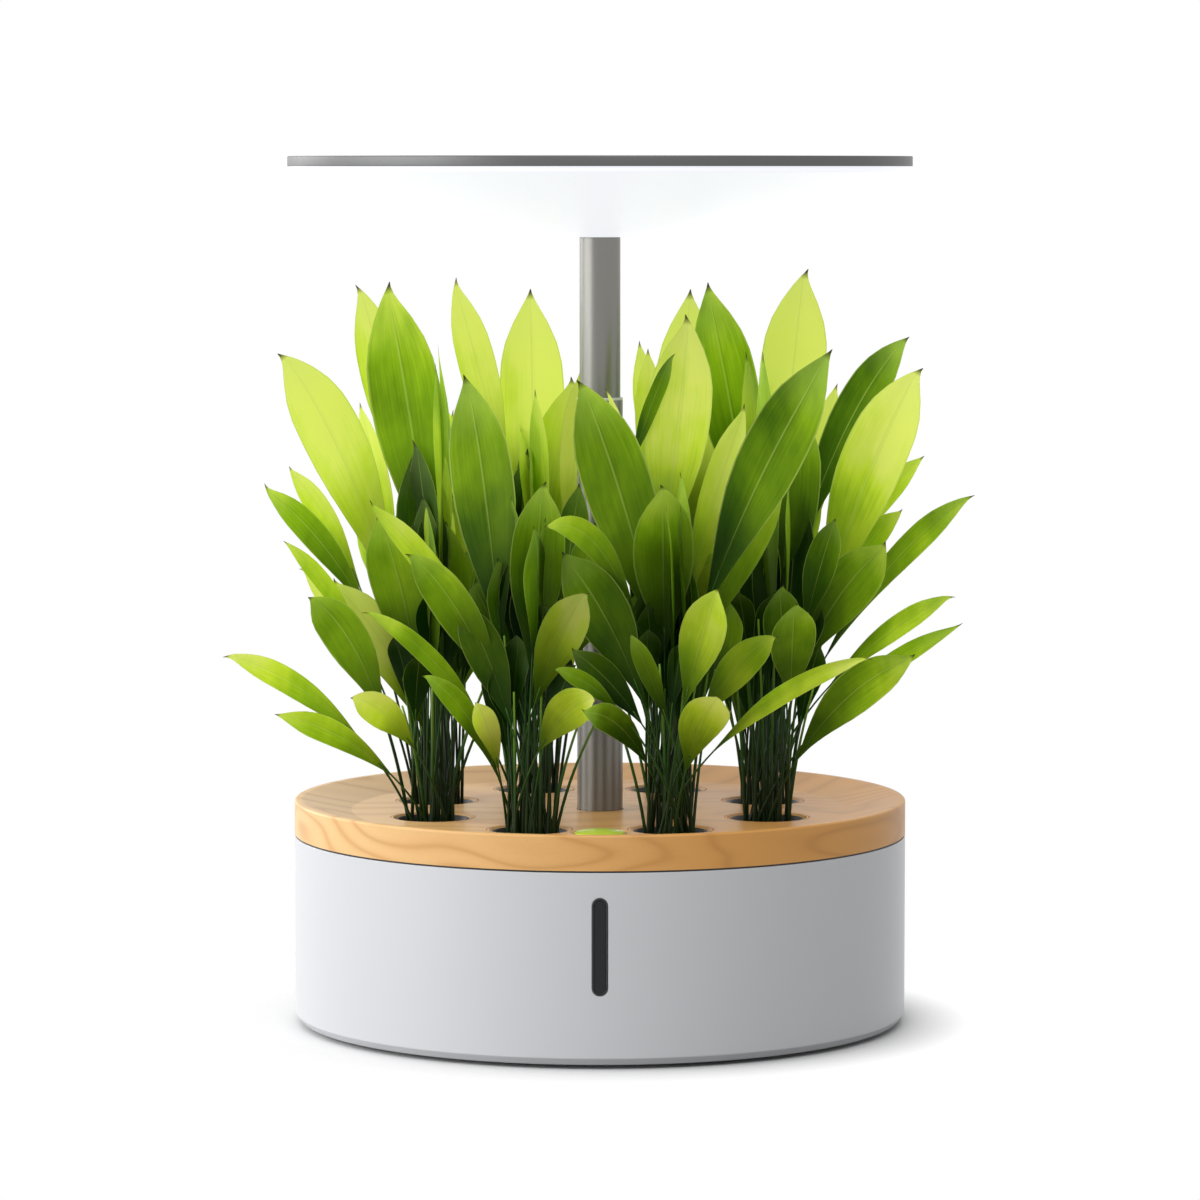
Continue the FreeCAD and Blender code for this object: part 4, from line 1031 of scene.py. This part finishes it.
def add_blade(bm, layer, curve, blade_start, width, turn, tone, rng):
    """blade sheet: folded along the midrib, its edges waving a little, its tip hooked"""
    twist = rng.uniform(-BLADE_TWIST, BLADE_TWIST)
    wave = rng.uniform(0.4, 1.3) * MM
    phase = rng.uniform(0, 6.28)
    hook = rng.uniform(-1, 1) * TIP_HOOK
    grid = []
    for i in range(BLADE_ROWS + 1):
        share = 1 - (1 - i / BLADE_ROWS) ** ROW_EASE
        centre, heading = bezier(curve, blade_start + (1 - blade_start) * share)
        across, front = leaf_axes(heading, turn + twist * (share - 0.5))
        half = width / 2 * blade_width(share)
        bend = hook * (max(0.0, share - TIP_START) / (1 - TIP_START)) ** 2
        centre = centre + across * bend
        shadow = min(1.0, FOOT_LIGHT + LIGHT_GAIN * share)
        row = []
        for j in range(BLADE_COLUMNS + 1):
            v = 2.0 * j / BLADE_COLUMNS - 1
            dip = (1 - abs(v) ** FOLD_POWER) * half * BLADE_FOLD
            curl = EDGE_CURL * half * max(0.0, abs(v) - EDGE_START)
            swing = math.sin(WAVE_TURNS * share + phase + (WAVE_LAG if v > 0 else 0))
            ripple = wave * v * abs(v) * swing * (half / (width / 2))
            point = centre + across * (v * half) - front * (dip - curl - ripple)
            row.append((bm.verts.new(point), (tone, share, (v + 1) / 2, shadow)))
        grid.append(row)
    for low, high in zip(grid, grid[1:]):
        for j in range(BLADE_COLUMNS):
            leaf_face(bm, layer, [low[j], low[j + 1], high[j + 1], high[j]], 0)


def leaf_face(bm, layer, ring, material_index, smooth=True):
    """face through a ring of (point, leaf value)"""
    face = bm.faces.new([vert for vert, value in ring])
    face.material_index = material_index
    face.smooth = smooth
    for loop, (vert, value) in zip(face.loops, ring):
        loop[layer] = value


def add_stalk(bm, layer, curve, end, radii, tone):
    """tapering stalk along a curve from its root to the given share of it"""
    rows = []
    for i in range(STALK_ROWS + 1):
        share = i / STALK_ROWS
        centre, heading = bezier(curve, end * share)
        across, front = leaf_axes(heading, 0)
        radius = radii[0] + (radii[1] - radii[0]) * share
        back = centre - front * radius * STALK_BACK
        value = (tone, min(1.0, end * share), 0.5, 1.0)
        row = []
        for k in range(STALK_SIDES):
            angle = 2 * math.pi * k / STALK_SIDES
            point = back + across * (radius * math.cos(angle)) + front * (radius * math.sin(angle))
            row.append((bm.verts.new(point), value))
        rows.append(row)
    for low, high in zip(rows, rows[1:]):
        for k in range(STALK_SIDES):
            after = (k + 1) % STALK_SIDES
            leaf_face(bm, layer, [low[k], low[after], high[after], high[k]], 1)
    for row in (rows[0], rows[-1]):
        leaf_face(bm, layer, row, 1, smooth=False)


def add_leaf(bm, layer, root, leaf, rng):
    x, y, z, width, blade, arch, turn, tone = leaf
    tip = Vector((x, y, z)) * MM
    curve = leaf_curve(root, tip, arch)
    start = blade_root(curve, blade * MM)
    add_blade(bm, layer, curve, start, width * MM, turn, tone, rng)
    add_stalk(bm, layer, curve, start + STALK_OVERLAP * (1 - start), STALK_RADII, tone)


def around(place, reach, angle, height):
    """point at a reach and an angle from a pod's axis"""
    return Vector((place.x + reach * math.cos(angle), place.y + reach * math.sin(angle), height))


def depth_share(y):
    """share of the way from the front of the plants to their back"""
    return (y + PLANT_REACH) / (2 * PLANT_REACH)


# The small leaves: rows like those above, in millimetres and degrees, drawn at random

def filler_leaf(place, k, rng):
    """extra leaf that closes the gaps in a pod's plant: dark ones inside as painted shade, lighter ones
    round them, lighter still towards the back as painted backlight
    """
    inner = k % 2 == 0
    out = math.atan2(place.y, place.x)
    angle = out + rng.uniform(-2.0, 2.0)
    reach = rng.uniform(2, 15) if inner else rng.uniform(10, 32)
    height = rng.uniform(195, 222) if place.y < FRONT_LIMIT else rng.uniform(205, 270)
    x = place.x / MM + reach * math.cos(angle)
    y = place.y / MM + abs(reach * math.sin(angle)) + FILLER_SETBACK
    # painted shade: the inner leaves nearly black; painted light: the outer ones lighter towards the back,
    # lit from behind
    if inner:
        tone = rng.uniform(-0.10, 0.08)
    else:
        tone = 0.16 + 0.62 * depth_share(y) + rng.uniform(-0.10, 0.12)
    blade = height - BLADES_FROM - rng.uniform(0, 14)
    width = rng.uniform(14, 23)
    turn = rng.uniform(-45, 45)
    return (x, y, height, width, blade, SMALL_ARCH, turn, min(0.95, tone))


def low_leaf(place, k, rng):
    """short leaf low in a pod's plant, nearly black in the front pods as painted shade, lighter green in
    the rear ones as painted backlight
    """
    angle = 2 * math.pi * (k + rng.uniform(0.0, 0.8)) / LOW_LEAVES_PER_POD
    reach = rng.uniform(12, 30)
    x = place.x / MM + reach * math.cos(angle)
    y = place.y / MM + reach * math.sin(angle) * LOW_FLATNESS
    # painted shade in the front pods, painted backlight in the rear ones
    tone = rng.uniform(-0.10, 0.06) if place.y < 0 else rng.uniform(0.30, 0.75)
    height = rng.uniform(168, 204)
    width = rng.uniform(10, 16)
    blade = rng.uniform(30, 46)
    turn = rng.uniform(-40, 40)
    return (x, y, height, width, blade, LOW_ARCH, turn, tone)


def side_leaf(place, k, rng):
    """leaf that faces sideways, so that a plant is as full from the side as from the front"""
    height = rng.uniform(210, 258) if place.y < FRONT_LIMIT else rng.uniform(235, 312)
    x = place.x / MM + rng.uniform(-9, 9)
    y = place.y / MM + (k - (SIDE_LEAVES_PER_POD - 1) / 2) * SIDE_LEAF_PITCH + rng.uniform(-5, 5)
    turn = (90 if k % 2 else -90) + rng.uniform(-28, 28)
    # painted light: lighter towards the back, as if lit from behind
    tone = 0.24 + 0.5 * depth_share(y) + rng.uniform(-0.06, 0.10)
    width = rng.uniform(20, 28)
    blade = height - rng.uniform(158, 175)
    return (x, y, height, width, blade, SMALL_ARCH, turn, min(0.92, tone))


def bare_stalk(bm, layer, place, k, rng):
    """stalk whose blade is lost among the others"""
    angle = 2 * math.pi * (k + rng.uniform(0, 0.7)) / BARE_STALKS
    ring = rng.uniform(0.3, 1.1) * STEM_RING
    root = around(place, ring, angle, SPONGE_TOP)
    reach = rng.uniform(10, 36) * MM
    top = around(place, reach, angle, rng.uniform(150, 190) * MM)
    add_stalk(bm, layer, leaf_curve(root, top, BARE_STALK_ARCH), 1.0, BARE_STALK_RADII, BARE_STALK_TONE)


def sink_light(bm, layer, place):
    """darkens what lies low and deep inside a plant, where the other leaves shade it"""
    for face in bm.faces:
        for loop in face.loops:
            at = loop.vert.co
            reach = math.hypot(at.x - place.x, at.y - place.y)
            low = min(1.0, max(0.0, (SHADE_TOP - at.z) / SHADE_HEIGHT))
            deep = low * max(0.0, 1 - reach / SHADE_REACH)
            tone, along, across, shadow = loop[layer]
            loop[layer] = (tone, along, across, shadow * (1 - SHADE_DEPTH * deep))


def make_plant(number, blade_material, stalk_material):
    rng = random.Random(PLANT_SEED + number)
    place = pod_place(number)
    bm = bmesh.new()
    layer = bm.loops.layers.float_color.new("leaf")
    rows = list(LEAVES[number] + EXTRA_LEAVES[number])
    main = len(rows)
    rows += [filler_leaf(place, k, rng) for k in range(FILLERS_PER_POD)]
    rows += [low_leaf(place, k, rng) for k in range(LOW_LEAVES_PER_POD)]
    rows += [side_leaf(place, k, rng) for k in range(SIDE_LEAVES_PER_POD)]
    for k, leaf in enumerate(rows):
        if k < main:
            angle = math.radians(360.0 * k / main + LEAF_FIRST_ANGLE)
            ring = STEM_RING
        else:
            angle = math.radians(360.0 * (k - main) / FILLERS_PER_POD + FILLER_FIRST_ANGLE)
            ring = STEM_RING * STEM_RING_SHARES[k % 2]
        add_leaf(bm, layer, around(place, ring, angle, SPONGE_TOP), leaf, rng)
    for k in range(BARE_STALKS):
        bare_stalk(bm, layer, place, k, rng)
    sink_light(bm, layer, place)
    plant = finish_mesh("plant_%d" % number, bm, [blade_material, stalk_material], smooth=False)
    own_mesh(plant)
    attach(plant, "pod_%d" % number)
    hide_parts("foliage_%d" % number)


# Carried-over frame nodes

def paint_frame(rubber, black):
    charcoal = moulded_plastic("charcoal_plastic", (0.045, 0.046, 0.05, 1), 0.5, 0.12)
    white = moulded_plastic("white_plastic", (0.72, 0.72, 0.71, 1), 0.45, 0.08)
    silicone = moulded_plastic("clear_silicone", (0.45, 0.48, 0.48, 1), 0.3, 0.02)
    screw = satin_metal("screw_steel", (0.50, 0.50, 0.51, 1), 0.32, (1, 1, 1))
    board = moulded_plastic("board_white", (0.70, 0.72, 0.71, 1), 0.35, 0.02)
    table = {
        "rubber_feet": rubber, "planter_deck": black, "mast_socket": black, "tray_screws": screw,
        "mast_screws": screw, "lamp_screws": screw, "slide_bush": white, "lamp_hub": white,
        "led_board": board, "led_chips": led_phosphor(), "button_switch": charcoal,
        "control_box": charcoal, "circuit_board": circuit_green(), "power_inlet": black,
        "pump_body": charcoal, "pump_strainer": charcoal, "riser_tube": silicone,
    }
    for name, material in table.items():
        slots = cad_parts[name].data.materials
        slots.clear()
        slots.append(material)


# Stage, lights and camera

FLOOR_RADIUS = 6.0
FLOOR_SIDES = 64

# Name, place, aim, width and height in metres, power in watts
LIGHTS = (
    ("key_left", (-2.75, -0.75, 0.9), (0, 0, 0.15), (2.8, 1.6), 53.0),
    ("front_top", (0.2, -1.8, 2.0), (0, 0, 0.15), (1.6, 1.2), 19.5),
    ("back_left", (-1.9, 1.5, 0.75), (0, 0, 0.30), (1.6, 0.9), 16.0),
)

# Along an axis, from one place to the other, the light's strength at each
WORLD_SLOPES = (
    ("X", 0.10, -0.75, 0.32, 0.74),
    ("Y", 0.35, 1.0, 0.0, 0.65),
)


def make_floor():
    bm = bmesh.new()
    bmesh.ops.create_circle(bm, cap_ends=True, radius=FLOOR_RADIUS, segments=FLOOR_SIDES)
    floor = finish_mesh("floor", bm, [floor_material()], smooth=False)


def put(name, data, place, target):
    """object of a light or a camera at a place, turned towards its target"""
    thing = bpy.data.objects.new(name, data)
    bpy.context.scene.collection.objects.link(thing)
    thing.location = place
    thing.rotation_euler = (Vector(target) - Vector(place)).to_track_quat("-Z", "Y").to_euler()
    return thing


def make_lights():
    for name, place, target, size, power in LIGHTS:
        data = bpy.data.lights.new(name, "AREA")
        data.shape = "RECTANGLE"
        data.size, data.size_y = size
        data.energy = power
        put(name, data, place, target)


def make_world():
    """white to the eye; as light, soft all round, stronger from the left and from behind"""
    world = bpy.data.worlds.new("studio")
    bpy.context.scene.world = world
    n = Nodes(world, "OutputWorld")
    axes = n.add("SeparateXYZ", {"Vector": n.add("TexCoord").outputs["Generated"]}).outputs
    slopes = []
    for axis, start, end, weak, strong in WORLD_SLOPES:
        slope = n.add("MapRange", {
            "Value": axes[axis], "From Min": start, "From Max": end, "To Min": weak, "To Max": strong,
        }, interpolation_type="SMOOTHSTEP")
        slopes.append(slope.outputs[0])
    light = n.add("Background", {"Color": WHITE, "Strength": n.math("ADD", *slopes)})
    plain = n.add("Background", {"Color": WHITE})
    n.finish(n.mix_shader(n.seen(), light.outputs[0], plain.outputs[0]))


def make_camera():
    data = bpy.data.cameras.new("camera")
    data.lens = CAMERA_LENS
    data.sensor_width = CAMERA_SENSOR
    data.sensor_fit = "HORIZONTAL"
    data.clip_start, data.clip_end = CAMERA_RANGE
    bpy.context.scene.camera = put("camera", data, CAMERA_PLACE, CAMERA_TARGET)


def main():
    bpy.context.scene.view_settings.view_transform = "Standard"
    make_camera()
    make_world()
    make_lights()
    make_floor()
    rubber = moulded_plastic("rubber_black", (0.018, 0.018, 0.020, 1), 0.6, 0.05)
    black = moulded_plastic("deck_black", (0.022, 0.022, 0.024, 1), 0.45, 0.10)
    steel = satin_metal("tube_steel", (0.22, 0.216, 0.199, 1), 0.37, (1, 1, 0.02))
    nylon = moulded_plastic("collar_nylon", (0.72, 0.72, 0.70, 1), 0.4, 0.02)
    make_tub(moulded_plastic("tub_grey", (0.69, 0.705, 0.73, 1), 0.32, 0.02))
    make_window(rubber, smoked_window())
    make_tray(wood())
    make_mast(steel, nylon)
    make_lamp(satin_metal("lamp_metal", (0.13, 0.13, 0.132, 1), 0.45, (1, 1, 6)), glowing_diffuser())
    make_button(moulded_plastic("button_green", (0.66, 0.86, 0.05, 1), 0.3, 0.02, 0.3))
    cup = moulded_plastic("cup_dark", (0.020, 0.020, 0.021, 1), 0.5, 0.08)
    foam = growing_foam()
    blade = leaf_blade()
    stalk = leaf_stalk()
    for number in range(1, POD_COUNT + 1):
        make_cup(number, cup)
        make_sponge(number, foam)
        make_plant(number, blade, stalk)
    paint_frame(rubber, black)


main()
